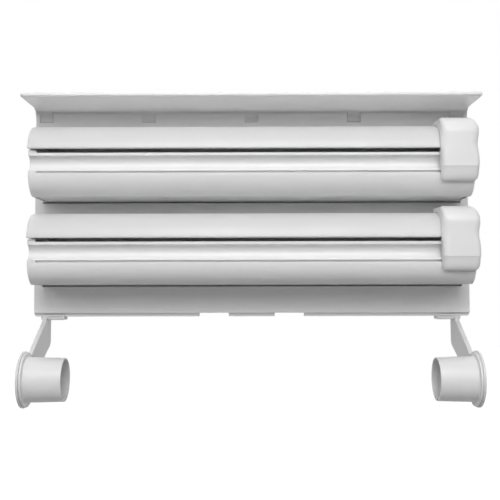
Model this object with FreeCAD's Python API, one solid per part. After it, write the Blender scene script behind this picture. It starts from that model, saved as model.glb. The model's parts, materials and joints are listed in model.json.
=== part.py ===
import FreeCAD, Part
import math
import os

# Wall-mounted kitchen dispenser for two film rolls and one paper roll, in millimetres.
# X runs to the right seen from the front, Y into the wall and Z up.
# The wall is the plane Y = 0, and Z = 0 is the lower edge of the panel's front face.
# Outlines are drawn in depth, the distance out from the wall, and height.

# How far a cut runs past the faces that it opens
CUT_PAST = 1.0

# Wall panel
PANEL_WIDTH = 385.0
PANEL_DEPTH = 12.0
PANEL_SKIN = 2.5
PANEL_CORNER_RADIUS = 2.5
RIB_THICKNESS = 1.6
CENTRE_RIB_THICKNESS = 3.0
RIB_SPACING = 40.0
RIB_COUNT_EACH_SIDE = 4
RIB_CLEAR_OF_RAIL = 1.2

# Rail along the panel's lower edge, in which the roll arms slide
RAIL_THICKNESS = 3.1
RAIL_SETBACK = 1.1
RAIL_WEB = 1.2
RAIL_WEB_HEIGHT = 10.0
RAIL_SLOT_WIDTH = 3.2
RAIL_SLOT_DEPTH = 6.2
NOTCH_INNER_END = 20.4
NOTCH_LENGTH = 26.3

# Pads and holes for the two wall screws, inside the upper housing
WALL_SCREW_SPACING = 199.0
WALL_SCREW_HEIGHT = 128.0
WALL_SCREW_HOLE_RADIUS = 2.25
WALL_SCREW_SINK_RADIUS = 4.5
WALL_SCREW_TUBE_RADIUS = 5.5
PAD_WIDTH = 14.0
PAD_THICKNESS = 3.0
PAD_BELOW_SCREW = 7.0
PAD_ABOVE_SCREW = 22.0
CENTRE_PAD_WIDTH = 83.0
CENTRE_PAD_THICKNESS = 1.4

# Shelf
SHELF_DEPTH = 62.5
SHELF_THICKNESS = 2.5
SHELF_RIM_THICKNESS = 3.0
SHELF_RIM_HEIGHT = 4.0
SHELF_ABOVE_LID = 22.2
COVE_RADIUS = 10.0
COVE_SEAM_ANGLE = 140.0
COVE_SEAM_GAP = 0.3
ROOF_ABOVE_COVE = 1.3
SHELF_WEB_SPACING = 80.0
SHELF_WEB_COUNT = 5

# Snap tabs that hold the shelf in the panel
TAB_COUNT = 5
TAB_WIDTH = 11.5
TAB_END_INSET = 9.5
TAB_TOP_ANGLE = 125.0
TAB_DROP = 1.0
TAB_BARB = 1.4
TAB_BARB_ROOM = 0.9
TAB_GAP = 0.3
TAB_FACE_PROUD = 0.05
TAB_FACE_RISE = 0.8
TAB_NECK_DEPTH = 1.6
TAB_NECK_DROP = 3.4

# Housings: each is a fixed lid over a tilting front flap
HOUSING_INSET = 7.2
HOUSING_PITCH = 74.0
HOUSING_UNDERSIDE = 24.7
HOUSING_WALL = 2.0
HOUSING_HEIGHT = 60.3
LID_FLAT = 31.0
LID_RADIUS = 23.0
LID_END_WALL = 2.3
LID_EDGE_HEIGHT = 38.8
LID_EDGE_ROUND = 0.9
TROUGH_RADIUS = 20.0
TROUGH_CENTRE_HEIGHT = 18.8
FLAP_REAR_GAP = 1.6
FLAP_END_WALL = 2.0
CHANNEL_RADIUS = 6.0
CHANNEL_ABOVE_TROUGH = 7.8
CHANNEL_FORWARD = 0.6
LIP_SETBACK = 0.8
LIP_THICKNESS = 3.5
TEAR_SLOT_HEIGHT = 2.8
END_BLOCK_LENGTH = 6.9
END_BLOCK_GAP = 0.7
GUIDE_GROOVE_HEIGHT = 1.0
GUIDE_GROOVE_DEPTH = 0.9
GUIDE_GROOVE_ABOVE_TROUGH = 0.95

# Flap pivots, on cheeks that come down from the lid inside the flap's end walls
PIVOT_FORWARD = 34.0
PIVOT_HEIGHT = 7.8
PIVOT_RADIUS = 2.5
PIVOT_FIT = 0.06
PIVOT_BOSS_RADIUS = 5.2
CHEEK_THICKNESS = 2.3
CHEEK_GAP = 0.3
CHEEK_BACK_ANGLE = 215.0
CHEEK_WAY_PAST_PIVOT = 1.25
CHEEK_FOOT_HEIGHT = 27.3
CHEEK_CLEAR_OF_CHANNEL = 0.8
CHEEK_LAP = 8.5

# Lid screws, driven from behind the panel
LID_SCREW_PLACES = (60.0, 140.0)
LID_SCREW_BELOW_TOP = 4.8
LID_SCREW_RADIUS = 1.25
LID_SCREW_LENGTH = 10.5
LID_SCREW_HEAD_RADIUS = 2.8
LID_SCREW_HEAD_HEIGHT = 1.5
LID_SCREW_CLEARANCE = 0.35
LID_BOSS_RADIUS = 3.2
LID_BOSS_LENGTH = 10.0
SCREW_THREAD_FIT = 0.05
SCREW_END_ROOM = 0.1
DRIVER_SLOT_WIDTH = 0.7
DRIVER_SLOT_DEPTH = 0.5

# Slide cutter
SLIDER_WIDTH = 31.0
SLIDER_OVERHANG = 0.7
SLIDER_WALL = 1.8
SLIDER_RISE = 3.5
SLIDER_HOOD_LENGTH = 4.0
SLIDER_GAP = 0.6
SLIDER_STEP_BELOW_LID_EDGE = 1.2
SLIDER_EDGE_RADIUS = 3.6
SLIDER_CROWN_RADIUS = 8.5
SLIDER_FACE_PROUD = 7.0
SLIDER_WAIST_PROUD = 5.8
SLIDER_WAIST_HEIGHT = 39.8
SLIDER_LOBE_PROUD = 10.0
SLIDER_LOBE_HEIGHT = 23.3
SLIDER_CHIN_PROUD = 5.4
SLIDER_CHIN_WALL_SHARE = 0.4
SLIDER_BOTTOM_HEIGHT = 10.5
SLIDER_CREASE_DIRECTION = (-0.3, -1.0)
SLIDER_CHIN_DIRECTION = (-1.0, -0.25)

# Carriage, blade and screw inside the slide cutter
CARRIAGE_WIDTH = 20.0
CARRIAGE_PLATE = 1.8
CARRIAGE_GAP = 1.0
CARRIAGE_BOTTOM_HEIGHT = 16.3
CARRIAGE_BELOW_LID_EDGE = 0.5
HOOK_WIDTH = 14.0
HOOK_THICKNESS = 1.75
HOOK_GAP = 0.5
HOOK_TIP = 1.6
HOOK_REACH = 2.1
GUIDE_RIB_THICKNESS = 0.6
GUIDE_RIB_TIP_GAP = 0.2
BLADE_THICKNESS = 0.5
BLADE_WIDTH = 10.0
BLADE_TIP_WIDTH = 1.6
BLADE_SLOT_FIT = 0.1
BLADE_HEIGHT = 25.8
BLADE_ROOT = 3.2
BLADE_TIP_GAP = 1.0
BLADE_LEDGE_HEIGHT = 2.6
SLIDER_SCREW_HEIGHT = 31.3
SLIDER_SCREW_RADIUS = 1.1
SLIDER_SCREW_LENGTH = 4.4
SLIDER_SCREW_HEAD_RADIUS = 2.0
SLIDER_SCREW_HEAD_HEIGHT = 1.3
SLIDER_BOSS_RADIUS = 2.6

# Roll arms
ARM_THICKNESS = 4.0
ARM_FRONT_DEPTH = 17.0
ARM_FRONT_DROP = 3.3
ARM_SLOPE = 0.59
ARM_REAR_DEPTH = 0.5
ARM_REAR_TOP = 7.0
ARM_REAR_BOTTOM = 25.8
ARM_LEFT_INSET = 8.5
ARM_RIGHT_INSET = 10.5
SHOE_LENGTH = 21.0
SHOE_OVERHANG = 2.0
SHOE_PLATE = 2.7
SHOE_GAP = 0.2
SHOE_REAR_DEPTH = 1.0
SHOE_LIP_THICKNESS = 2.0
SHOE_LIP_TOP = 1.4
SHOE_POCKET_DEPTH = 0.6
SHOE_POCKET_RIM = 1.2
SLIDE_GAP = 0.3
HEAD_THICKNESS = 2.5

# Roll axle, at the arm's outer end, and the spigot that turns on it
AXLE_DEPTH = 73.0
AXLE_DROP = 51.7
DISC_RADIUS = 22.7
DISC_THICKNESS = 1.9
AXLE_RADIUS = 4.0
AXLE_FIT = 0.06
AXLE_SNAP_RADIUS = 4.9
AXLE_SNAP_LENGTH = 2.4
AXLE_SPLIT = 1.4
AXLE_END_PLAY = 0.1
SPIGOT_FLANGE_RADIUS = 21.9
SPIGOT_FLANGE = 1.7
SPIGOT_GAP = 0.1
SPIGOT_REACH = 34.0
SPIGOT_ROOT_RADIUS = 18.3
SPIGOT_MOUTH_RADIUS = 17.5
SPIGOT_WALL = 1.2
HUB_RADIUS = 7.0
HUB_LENGTH = 8.0
HUB_RIB = 1.2
HUB_RIB_COUNT = 4
FLANGE_RELIEF_GAP = 0.3

# Planes shared by several pieces
panel_half = PANEL_WIDTH / 2
housing_half = panel_half - HOUSING_INSET
slot_half = housing_half - END_BLOCK_LENGTH
left_arm_face = panel_half - ARM_LEFT_INSET
right_arm_face = panel_half - ARM_RIGHT_INSET
skin_back = PANEL_DEPTH - PANEL_SKIN
curve_depth = PANEL_DEPTH + LID_FLAT
trough_front = curve_depth + TROUGH_RADIUS
shelf_underside = HOUSING_UNDERSIDE + HOUSING_HEIGHT + HOUSING_PITCH + SHELF_ABOVE_LID
shelf_top = shelf_underside + SHELF_THICKNESS
cove_centre = (PANEL_DEPTH + COVE_RADIUS, shelf_underside - COVE_RADIUS)
roof_underside = cove_centre[1] + ROOF_ABOVE_COVE
pivot_depth = PANEL_DEPTH + PIVOT_FORWARD
rail_front = PANEL_DEPTH - RAIL_SETBACK


def vector(x, depth, height):
    """Return the point that lies at this place, depth and height."""
    return FreeCAD.Vector(x, -depth, height)


def on_circle(centre, radius, angle):
    """Return the depth and height of the point at an angle, counted from outward to upward."""
    turn = math.radians(angle)
    return (centre[0] + radius * math.cos(turn), centre[1] + radius * math.sin(turn))


def height_on_circle(centre, radius, depth, side):
    """Return where a circle has this depth, above its centre (side 1) or below it (side -1)."""
    return centre[1] + side * math.sqrt(radius ** 2 - (depth - centre[0]) ** 2)


def depth_on_circle(centre, radius, height):
    """Return the outer depth at which a circle has this height."""
    return centre[0] + math.sqrt(radius ** 2 - (height - centre[1]) ** 2)


def circles_cross(first, first_radius, second, second_radius):
    """Return the lower point where two circles cross."""
    gap_depth = second[0] - first[0]
    gap_height = second[1] - first[1]
    gap = math.hypot(gap_depth, gap_height)
    along = (first_radius ** 2 - second_radius ** 2 + gap ** 2) / (2 * gap)
    across = math.sqrt(first_radius ** 2 - along ** 2)
    return (first[0] + (along * gap_depth + across * gap_height) / gap,
            first[1] + (along * gap_height - across * gap_depth) / gap)


class Outline:
    """A closed outline in depth and height, made of lines, arcs and smooth curves."""

    def __init__(self, depth, height):
        self.start = (depth, height)
        self.end = self.start
        self.edges = []

    def line(self, depth, height):
        """Draw a straight line to a point."""
        if math.hypot(depth - self.end[0], height - self.end[1]) > 1e-6:
            self.edges.append(Part.makeLine(vector(0, *self.end), vector(0, depth, height)))
            self.end = (depth, height)
        return self

    def arc(self, middle, end):
        """Draw an arc through a middle point to an end point."""
        arc = Part.Arc(vector(0, *self.end), vector(0, *middle), vector(0, *end))
        self.edges.append(arc.toShape())
        self.end = end
        return self

    def curve(self, points, first_direction, last_direction):
        """Draw a smooth curve through the points that leaves and ends in the given directions."""
        spline = Part.BSplineCurve()
        spline.interpolate(Points=[vector(0, *self.end)] + [vector(0, *point) for point in points],
                           InitialTangent=vector(0, *first_direction),
                           FinalTangent=vector(0, *last_direction))
        self.edges.append(spline.toShape())
        self.end = points[-1]
        return self

    def solid(self, first_x, last_x):
        """Close the outline and carry it along X from one place to another."""
        self.line(*self.start)
        face = Part.Face(Part.Wire(self.edges))
        face.translate(FreeCAD.Vector(first_x, 0, 0))
        return face.extrude(FreeCAD.Vector(last_x - first_x, 0, 0))


def polygon(points, first_x, last_x):
    """Carry a straight-sided outline along X."""
    outline = Outline(*points[0])
    for point in points[1:]:
        outline.line(*point)
    return outline.solid(first_x, last_x)


def block(first_x, last_x, first_depth, last_depth, bottom, top):
    """Return a box between two places, two depths and two heights."""
    return Part.makeBox(last_x - first_x, last_depth - first_depth, top - bottom,
                        vector(first_x, last_depth, bottom))


def peg(radius, first_x, last_x, depth, height):
    """Return a round peg along X."""
    return Part.makeCylinder(radius, last_x - first_x, vector(first_x, depth, height),
                             FreeCAD.Vector(1, 0, 0))


def pin(radius, x, height, first_depth, last_depth):
    """Return a round pin that points out from the wall."""
    return Part.makeCylinder(radius, last_depth - first_depth, vector(x, first_depth, height),
                             FreeCAD.Vector(0, -1, 0))


def cone(first_radius, last_radius, x, height, first_depth, last_depth):
    """Return a round cone that points out from the wall."""
    return Part.makeCone(first_radius, last_radius, last_depth - first_depth,
                         vector(x, first_depth, height), FreeCAD.Vector(0, -1, 0))


def ring(centre, inner, outer, first_angle, last_angle, first_x, last_x):
    """Return part of a tube along X, between two angles."""
    middle_angle = (first_angle + last_angle) / 2
    outline = Outline(*on_circle(centre, inner, first_angle))
    outline.arc(on_circle(centre, inner, middle_angle), on_circle(centre, inner, last_angle))
    outline.line(*on_circle(centre, outer, last_angle))
    outline.arc(on_circle(centre, outer, middle_angle), on_circle(centre, outer, first_angle))
    return outline.solid(first_x, last_x)


def whole(shape):
    """Merge the faces that lie in one surface, and return the single solid."""
    clean = shape.removeSplitter()
    return clean.Solids[0] if len(clean.Solids) == 1 else clean


def join(shapes):
    """Fuse shapes into one solid with clean faces."""
    return whole(shapes[0].fuse(shapes[1:]))


def mirrored(shape):
    """Return the shape's mirror image in the plane X = 0."""
    return shape.mirror(FreeCAD.Vector(0, 0, 0), FreeCAD.Vector(1, 0, 0))


def spread(count, spacing):
    """Return the places of this many like features, evenly spaced about the middle."""
    return [(index - (count - 1) / 2) * spacing for index in range(count)]


def tab_places():
    """Return the X places of the shelf's snap tabs."""
    return spread(TAB_COUNT, 2 * (panel_half - TAB_END_INSET) / (TAB_COUNT - 1))


def lid_screw_places():
    """Return the X places of one lid's screws."""
    return [side * place for place in LID_SCREW_PLACES for side in (-1, 1)]


def lid_top(rise):
    """Return the height of a lid's top, for a housing raised by this much."""
    return HOUSING_UNDERSIDE + HOUSING_HEIGHT + rise


def trough_middle(radius):
    """Return the angle of the middle of a trough's arc, from the floor's height to its front."""
    return math.degrees(math.asin(-TROUGH_CENTRE_HEIGHT / radius)) / 2


def back_panel():
    """Return the wall panel with its rail, ribs, flare and screw pads."""
    skin = block(-panel_half, panel_half, skin_back, PANEL_DEPTH, 0, cove_centre[1])
    flare = ring(cove_centre, COVE_RADIUS, COVE_RADIUS + PANEL_SKIN, COVE_SEAM_ANGLE, 180,
                 -panel_half, panel_half)
    roof_front = skin_back + PANEL_SKIN / 2
    roof = block(-panel_half, panel_half, 0, roof_front, roof_underside, roof_underside + PANEL_SKIN)
    shapes = [skin, flare, roof]
    for side in (-1, 1):
        inner = panel_half - PANEL_SKIN
        shapes.append(block(min(side * panel_half, side * inner), max(side * panel_half, side * inner),
                            0, skin_back + PANEL_SKIN / 2, 0, roof_underside + PANEL_SKIN / 2))
    shapes.append(block(-panel_half, panel_half, 0, rail_front, -RAIL_THICKNESS, 0))
    shapes.append(block(-panel_half, panel_half, 0, RAIL_WEB, -RAIL_THICKNESS / 2, RAIL_WEB_HEIGHT))
    rib_bottom = HEAD_THICKNESS + SLIDE_GAP + RIB_CLEAR_OF_RAIL
    for index in range(-RIB_COUNT_EACH_SIDE, RIB_COUNT_EACH_SIDE + 1):
        half = (RIB_THICKNESS if index else CENTRE_RIB_THICKNESS) / 2
        place = index * RIB_SPACING
        shapes.append(block(place - half, place + half, 0, skin_back + PANEL_SKIN / 2,
                            rib_bottom, roof_underside + PANEL_SKIN / 2))
    for side in (-1, 1):
        place = side * WALL_SCREW_SPACING / 2
        shapes.append(pin(WALL_SCREW_TUBE_RADIUS, place, WALL_SCREW_HEIGHT, 0, skin_back + PANEL_SKIN / 2))
        shapes.append(block(place - PAD_WIDTH / 2, place + PAD_WIDTH / 2,
                            skin_back + PANEL_SKIN / 2, PANEL_DEPTH + PAD_THICKNESS,
                            WALL_SCREW_HEIGHT - PAD_BELOW_SCREW, WALL_SCREW_HEIGHT + PAD_ABOVE_SCREW))
    shapes.append(block(-CENTRE_PAD_WIDTH / 2, CENTRE_PAD_WIDTH / 2,
                        skin_back + PANEL_SKIN / 2, PANEL_DEPTH + CENTRE_PAD_THICKNESS,
                        WALL_SCREW_HEIGHT - PAD_BELOW_SCREW, WALL_SCREW_HEIGHT + PAD_ABOVE_SCREW))
    panel = join(shapes)
    cuts = []
    below = -RAIL_THICKNESS - CUT_PAST
    for side in (-1, 1):
        ends = sorted((side * NOTCH_INNER_END, side * (panel_half - PANEL_SKIN)))
        cuts.append(block(ends[0], ends[1], RAIL_SLOT_DEPTH - RAIL_SLOT_WIDTH / 2,
                          RAIL_SLOT_DEPTH + RAIL_SLOT_WIDTH / 2, below, 0))
        ends = sorted((side * NOTCH_INNER_END, side * (NOTCH_INNER_END + NOTCH_LENGTH)))
        cuts.append(block(ends[0], ends[1], -CUT_PAST, PANEL_DEPTH, below, 0))
        place = side * WALL_SCREW_SPACING / 2
        pad_front = PANEL_DEPTH + PAD_THICKNESS
        sink_depth = WALL_SCREW_SINK_RADIUS - WALL_SCREW_HOLE_RADIUS
        cuts.append(pin(WALL_SCREW_HOLE_RADIUS, place, WALL_SCREW_HEIGHT, -CUT_PAST, pad_front + CUT_PAST))
        cuts.append(cone(WALL_SCREW_HOLE_RADIUS, WALL_SCREW_SINK_RADIUS, place, WALL_SCREW_HEIGHT,
                         pad_front - sink_depth, pad_front))
    for rise in (0, HOUSING_PITCH):
        for place in lid_screw_places():
            cuts.append(pin(LID_SCREW_RADIUS + LID_SCREW_CLEARANCE, place,
                            lid_top(rise) - LID_SCREW_BELOW_TOP, skin_back - CUT_PAST,
                            PANEL_DEPTH + CUT_PAST))
    notch_bottom = cove_centre[1] - TAB_DROP - TAB_GAP
    barb_room = TAB_BARB + TAB_BARB_ROOM
    for place in tab_places():
        half = TAB_WIDTH / 2 + TAB_GAP
        cuts.append(block(place - half, place + half, skin_back, cove_centre[0],
                          notch_bottom, shelf_underside))
        cuts.append(block(place - half, place + half, skin_back - barb_room, skin_back,
                          notch_bottom - barb_room, shelf_underside))
    for side in (-1, 1):
        middle = side * (panel_half - PANEL_CORNER_RADIUS)
        ends = sorted((middle, side * (panel_half + CUT_PAST)))
        corner_height = PANEL_CORNER_RADIUS - RAIL_THICKNESS
        corner = block(ends[0], ends[1], -CUT_PAST, PANEL_DEPTH + CUT_PAST, below, corner_height)
        cuts.append(corner.cut(pin(PANEL_CORNER_RADIUS, middle, corner_height, -2 * CUT_PAST,
                                   PANEL_DEPTH + 2 * CUT_PAST)))
    return whole(panel.cut(cuts))


def top_shelf():
    """Return the shelf with its rim, cove, rear wall and snap tabs."""
    half = panel_half
    seat = roof_underside + PANEL_SKIN
    outer = COVE_RADIUS + SHELF_THICKNESS
    seam_turn = math.degrees(COVE_SEAM_GAP / COVE_RADIUS)
    plate = block(-half, half, 0, SHELF_DEPTH, shelf_underside, shelf_top)
    shapes = [plate]
    shapes.append(block(-half, half, SHELF_DEPTH - SHELF_RIM_THICKNESS, SHELF_DEPTH,
                        shelf_underside, shelf_underside + SHELF_RIM_HEIGHT))
    for side in (-1, 1):
        ends = sorted((side * half, side * (half - SHELF_THICKNESS)))
        shapes.append(block(ends[0], ends[1], 0, SHELF_DEPTH, shelf_underside,
                            shelf_underside + SHELF_RIM_HEIGHT))
    shapes.append(ring(cove_centre, COVE_RADIUS, outer, 90, COVE_SEAM_ANGLE - seam_turn, -half, half))
    shapes.append(block(-half, half, 0, SHELF_THICKNESS, seat, shelf_top))
    web_places = spread(SHELF_WEB_COUNT, SHELF_WEB_SPACING)
    web_places += [-half + SHELF_THICKNESS / 2, half - SHELF_THICKNESS / 2]
    webs = join([block(place - SHELF_THICKNESS / 2, place + SHELF_THICKNESS / 2, 0, cove_centre[0],
                       seat, shelf_top) for place in web_places])
    past = half + CUT_PAST
    webs = webs.cut(peg(outer - SHELF_THICKNESS / 2, -past, past, *cove_centre))
    clear_of_flare = peg(COVE_RADIUS + PANEL_SKIN + COVE_SEAM_GAP, -past, past, *cove_centre)
    below_seam = block(-past, past, 0, cove_centre[0],
                       0, on_circle(cove_centre, outer, COVE_SEAM_ANGLE - seam_turn)[1])
    webs = webs.cut(clear_of_flare.common(below_seam))
    shapes.append(webs)
    shelf = join(shapes)
    high = on_circle(cove_centre, COVE_RADIUS, TAB_TOP_ANGLE)
    high_back = on_circle(cove_centre, COVE_RADIUS + SHELF_THICKNESS / 2, TAB_TOP_ANGLE)
    seam_back = on_circle(cove_centre, COVE_RADIUS + PANEL_SKIN, COVE_SEAM_ANGLE)
    tab_bottom = cove_centre[1] - TAB_DROP
    tabs = []
    for place in tab_places():
        tab = Outline(*high)
        tab.line(PANEL_DEPTH + TAB_FACE_PROUD, cove_centre[1] + TAB_FACE_RISE)
        tab.line(PANEL_DEPTH, tab_bottom)
        tab.line(skin_back - TAB_GAP, tab_bottom)
        tab.line(skin_back - TAB_GAP, tab_bottom - TAB_BARB)
        tab.line(skin_back - TAB_GAP - TAB_BARB, tab_bottom)
        tab.line(skin_back - TAB_GAP, cove_centre[1] + TAB_GAP)
        tab.line(seam_back[0] - TAB_NECK_DEPTH, seam_back[1] - TAB_NECK_DROP)
        tab.line(*seam_back)
        tab.line(*high_back)
        tabs.append(tab.solid(place - TAB_WIDTH / 2, place + TAB_WIDTH / 2))
    return join([shelf] + tabs)


def lid(rise):
    """Return one fixed lid with its end walls, pivot cheeks and screw bosses."""
    top = lid_top(rise)
    edge = HOUSING_UNDERSIDE + LID_EDGE_HEIGHT + rise
    centre = (curve_depth, top - LID_RADIUS)
    inner = LID_RADIUS - HOUSING_WALL
    outer_tip = (depth_on_circle(centre, LID_RADIUS, edge + LID_EDGE_ROUND), edge + LID_EDGE_ROUND)
    skin = Outline(PANEL_DEPTH, top)
    skin.line(curve_depth, top)
    skin.arc(on_circle(centre, LID_RADIUS, 45), outer_tip)
    skin.line(outer_tip[0] - LID_EDGE_ROUND, edge)
    skin.line(depth_on_circle(centre, inner, edge), edge)
    skin.arc(on_circle(centre, inner, 45), (curve_depth, top - HOUSING_WALL))
    skin.line(PANEL_DEPTH, top - HOUSING_WALL)
    shapes = [skin.solid(-housing_half, housing_half)]
    end = Outline(PANEL_DEPTH, top)
    end.line(curve_depth, top)
    end.arc(on_circle(centre, LID_RADIUS, 45), outer_tip)
    end.line(outer_tip[0] - LID_EDGE_ROUND, edge)
    end.line(PANEL_DEPTH, edge)
    wall = end.solid(housing_half - LID_END_WALL, housing_half)
    pivot = (pivot_depth, HOUSING_UNDERSIDE + PIVOT_HEIGHT + rise)
    cheek_face = housing_half - LID_END_WALL
    cheek_front = (trough_front + CHANNEL_FORWARD - CHANNEL_RADIUS - HOUSING_WALL
                   - CHEEK_CLEAR_OF_CHANNEL)
    foot = HOUSING_UNDERSIDE + CHEEK_FOOT_HEIGHT + rise
    cheek = polygon([(PANEL_DEPTH, edge + CHEEK_LAP), (PANEL_DEPTH, foot),
                     on_circle(pivot, PIVOT_BOSS_RADIUS, CHEEK_BACK_ANGLE),
                     on_circle(pivot, PIVOT_BOSS_RADIUS, 0),
                     (cheek_front, foot), (cheek_front, edge + CHEEK_LAP)],
                    cheek_face - CHEEK_THICKNESS, cheek_face)
    boss = peg(PIVOT_BOSS_RADIUS, cheek_face - CHEEK_THICKNESS, cheek_face, *pivot)
    bore = peg(PIVOT_RADIUS + PIVOT_FIT, cheek_face - CHEEK_THICKNESS - CUT_PAST,
               cheek_face + CUT_PAST, *pivot)
    cheek = cheek.fuse(boss).cut(bore)
    for shape in (wall, cheek):
        shapes += [shape, mirrored(shape)]
    screw_height = top - LID_SCREW_BELOW_TOP
    for place in lid_screw_places():
        shapes.append(pin(LID_BOSS_RADIUS, place, screw_height, PANEL_DEPTH, PANEL_DEPTH + LID_BOSS_LENGTH))
        shapes.append(block(place - RIB_THICKNESS / 2, place + RIB_THICKNESS / 2, PANEL_DEPTH,
                            PANEL_DEPTH + LID_BOSS_LENGTH, screw_height, top - HOUSING_WALL / 2))
    cover = join(shapes)
    holes = [pin(LID_SCREW_RADIUS + SCREW_THREAD_FIT, place, screw_height, PANEL_DEPTH - CUT_PAST,
                 PANEL_DEPTH + LID_BOSS_LENGTH + CUT_PAST) for place in lid_screw_places()]
    return whole(cover.cut(holes))


def lid_screws(rise):
    """Return one lid's four screws, each with a slotted head behind the panel's skin."""
    screws = []
    head_back = skin_back - LID_SCREW_HEAD_HEIGHT
    height = lid_top(rise) - LID_SCREW_BELOW_TOP
    for place in lid_screw_places():
        head = pin(LID_SCREW_HEAD_RADIUS, place, height, head_back, skin_back)
        shaft = pin(LID_SCREW_RADIUS, place, height, skin_back - LID_SCREW_HEAD_HEIGHT / 2,
                    skin_back + LID_SCREW_LENGTH)
        slot = block(place - LID_SCREW_HEAD_RADIUS, place + LID_SCREW_HEAD_RADIUS,
                     head_back, head_back + DRIVER_SLOT_DEPTH,
                     height - DRIVER_SLOT_WIDTH / 2, height + DRIVER_SLOT_WIDTH / 2)
        screws.append(whole(head.fuse(shaft).cut(slot)))
    return Part.makeCompound(screws)


def front_flap(rise):
    """Return one tilting flap: floor, curved trough, cutter channel, lip, end walls and pivots."""
    floor = HOUSING_UNDERSIDE + rise
    trough = (curve_depth, floor + TROUGH_CENTRE_HEIGHT)
    inner_trough = TROUGH_RADIUS - HOUSING_WALL
    channel = (trough_front + CHANNEL_FORWARD, trough[1] + CHANNEL_ABOVE_TROUGH)
    inner_channel = CHANNEL_RADIUS + HOUSING_WALL
    rear = PANEL_DEPTH + FLAP_REAR_GAP
    floor_front = (depth_on_circle(trough, TROUGH_RADIUS, floor), floor)
    inner_floor = floor + HOUSING_WALL
    inner_front = (depth_on_circle(trough, inner_trough, inner_floor), inner_floor)
    channel_low = (trough_front, height_on_circle(channel, CHANNEL_RADIUS, trough_front, -1))
    lip_front = trough_front - LIP_SETBACK
    lip_rear = lip_front - LIP_THICKNESS
    channel_high = (lip_front, height_on_circle(channel, CHANNEL_RADIUS, lip_front, 1))
    lip_low = (lip_rear, height_on_circle(channel, inner_channel, lip_rear, 1))
    edge = floor + LID_EDGE_HEIGHT
    lip_top = edge - TEAR_SLOT_HEIGHT
    block_top = edge - END_BLOCK_GAP
    inner_meeting = circles_cross(trough, inner_trough, channel, inner_channel)
    front_arc = on_circle(trough, TROUGH_RADIUS, trough_middle(TROUGH_RADIUS))

    skin = Outline(rear, floor)
    skin.line(*floor_front)
    skin.arc(front_arc, (trough_front, trough[1]))
    skin.line(*channel_low)
    skin.arc(on_circle(channel, CHANNEL_RADIUS, 180), channel_high)
    skin.line(lip_front, lip_top)
    skin.line(lip_rear, lip_top)
    skin.line(*lip_low)
    skin.arc(on_circle(channel, inner_channel, 180), inner_meeting)
    skin.arc(on_circle(trough, inner_trough, trough_middle(TROUGH_RADIUS)), inner_front)
    skin.line(rear, inner_floor)
    shapes = [skin.solid(-housing_half, housing_half)]

    groove_middle = trough[1] + GUIDE_GROOVE_ABOVE_TROUGH
    groove = block(-slot_half, slot_half, trough_front - GUIDE_GROOVE_DEPTH, trough_front + CUT_PAST,
                   groove_middle - GUIDE_GROOVE_HEIGHT / 2, groove_middle + GUIDE_GROOVE_HEIGHT / 2)
    pivot = (pivot_depth, floor + PIVOT_HEIGHT)
    sweep = block_top - pivot[1]
    end = Outline(rear, floor)
    end.line(*floor_front)
    end.arc(front_arc, (trough_front, trough[1]))
    end.line(*channel_low)
    end.arc(on_circle(channel, CHANNEL_RADIUS, 180), channel_high)
    end.line(lip_front, block_top)
    end.line(pivot_depth, block_top)
    end.arc(on_circle(pivot, sweep, 135), (pivot_depth - sweep, pivot[1]))
    wall = end.solid(housing_half - FLAP_END_WALL, housing_half)
    stop = block(slot_half, housing_half, lip_rear, lip_front, lip_top - HOUSING_WALL / 2, block_top)
    cheek_face = housing_half - LID_END_WALL
    inner_face = housing_half - FLAP_END_WALL
    stub = peg(PIVOT_RADIUS, cheek_face - CHEEK_THICKNESS - CHEEK_GAP * 2, inner_face, *pivot)
    for shape in (wall, stop, stub):
        shapes += [shape, mirrored(shape)]
    flap = join(shapes)
    cheek_way = block(cheek_face - CHEEK_THICKNESS - CHEEK_GAP, inner_face, rear - CUT_PAST,
                      pivot_depth + CHEEK_WAY_PAST_PIVOT, floor - CUT_PAST, inner_floor)
    return whole(flap.cut([groove, cheek_way, mirrored(cheek_way)]))


def slider_middle():
    """Return the X place of a slide cutter's middle at rest, at its right-hand end."""
    return housing_half + SLIDER_OVERHANG - SLIDER_WIDTH / 2


def slider_outline(rise, inset):
    """Return the slide cutter's side outline with its creased lobe, drawn in by this much."""
    floor = HOUSING_UNDERSIDE + rise
    top = lid_top(rise) + SLIDER_RISE
    face = trough_front + SLIDER_FACE_PROUD
    crown = (face - SLIDER_CROWN_RADIUS, top - SLIDER_CROWN_RADIUS)
    crown_radius = SLIDER_CROWN_RADIUS - inset
    rear = curve_depth - SLIDER_HOOD_LENGTH + inset
    lobe = trough_front + SLIDER_LOBE_PROUD
    bottom = floor + SLIDER_BOTTOM_HEIGHT
    chin = trough_front + SLIDER_CHIN_PROUD
    outline = Outline(rear, bottom + inset)
    outline.line(rear, top - inset)
    outline.line(crown[0], top - inset)
    outline.arc(on_circle(crown, crown_radius, 45), (face - inset, crown[1]))
    waist = (trough_front + SLIDER_WAIST_PROUD - inset, floor + SLIDER_WAIST_HEIGHT)
    belly = (lobe - inset, floor + SLIDER_LOBE_HEIGHT)
    chin_point = (chin - inset * SLIDER_CHIN_WALL_SHARE, bottom + inset)
    outline.curve([waist, belly], (0.0, -1.0), (0.0, -1.0))
    outline.curve([chin_point], SLIDER_CREASE_DIRECTION, SLIDER_CHIN_DIRECTION)
    return outline


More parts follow.
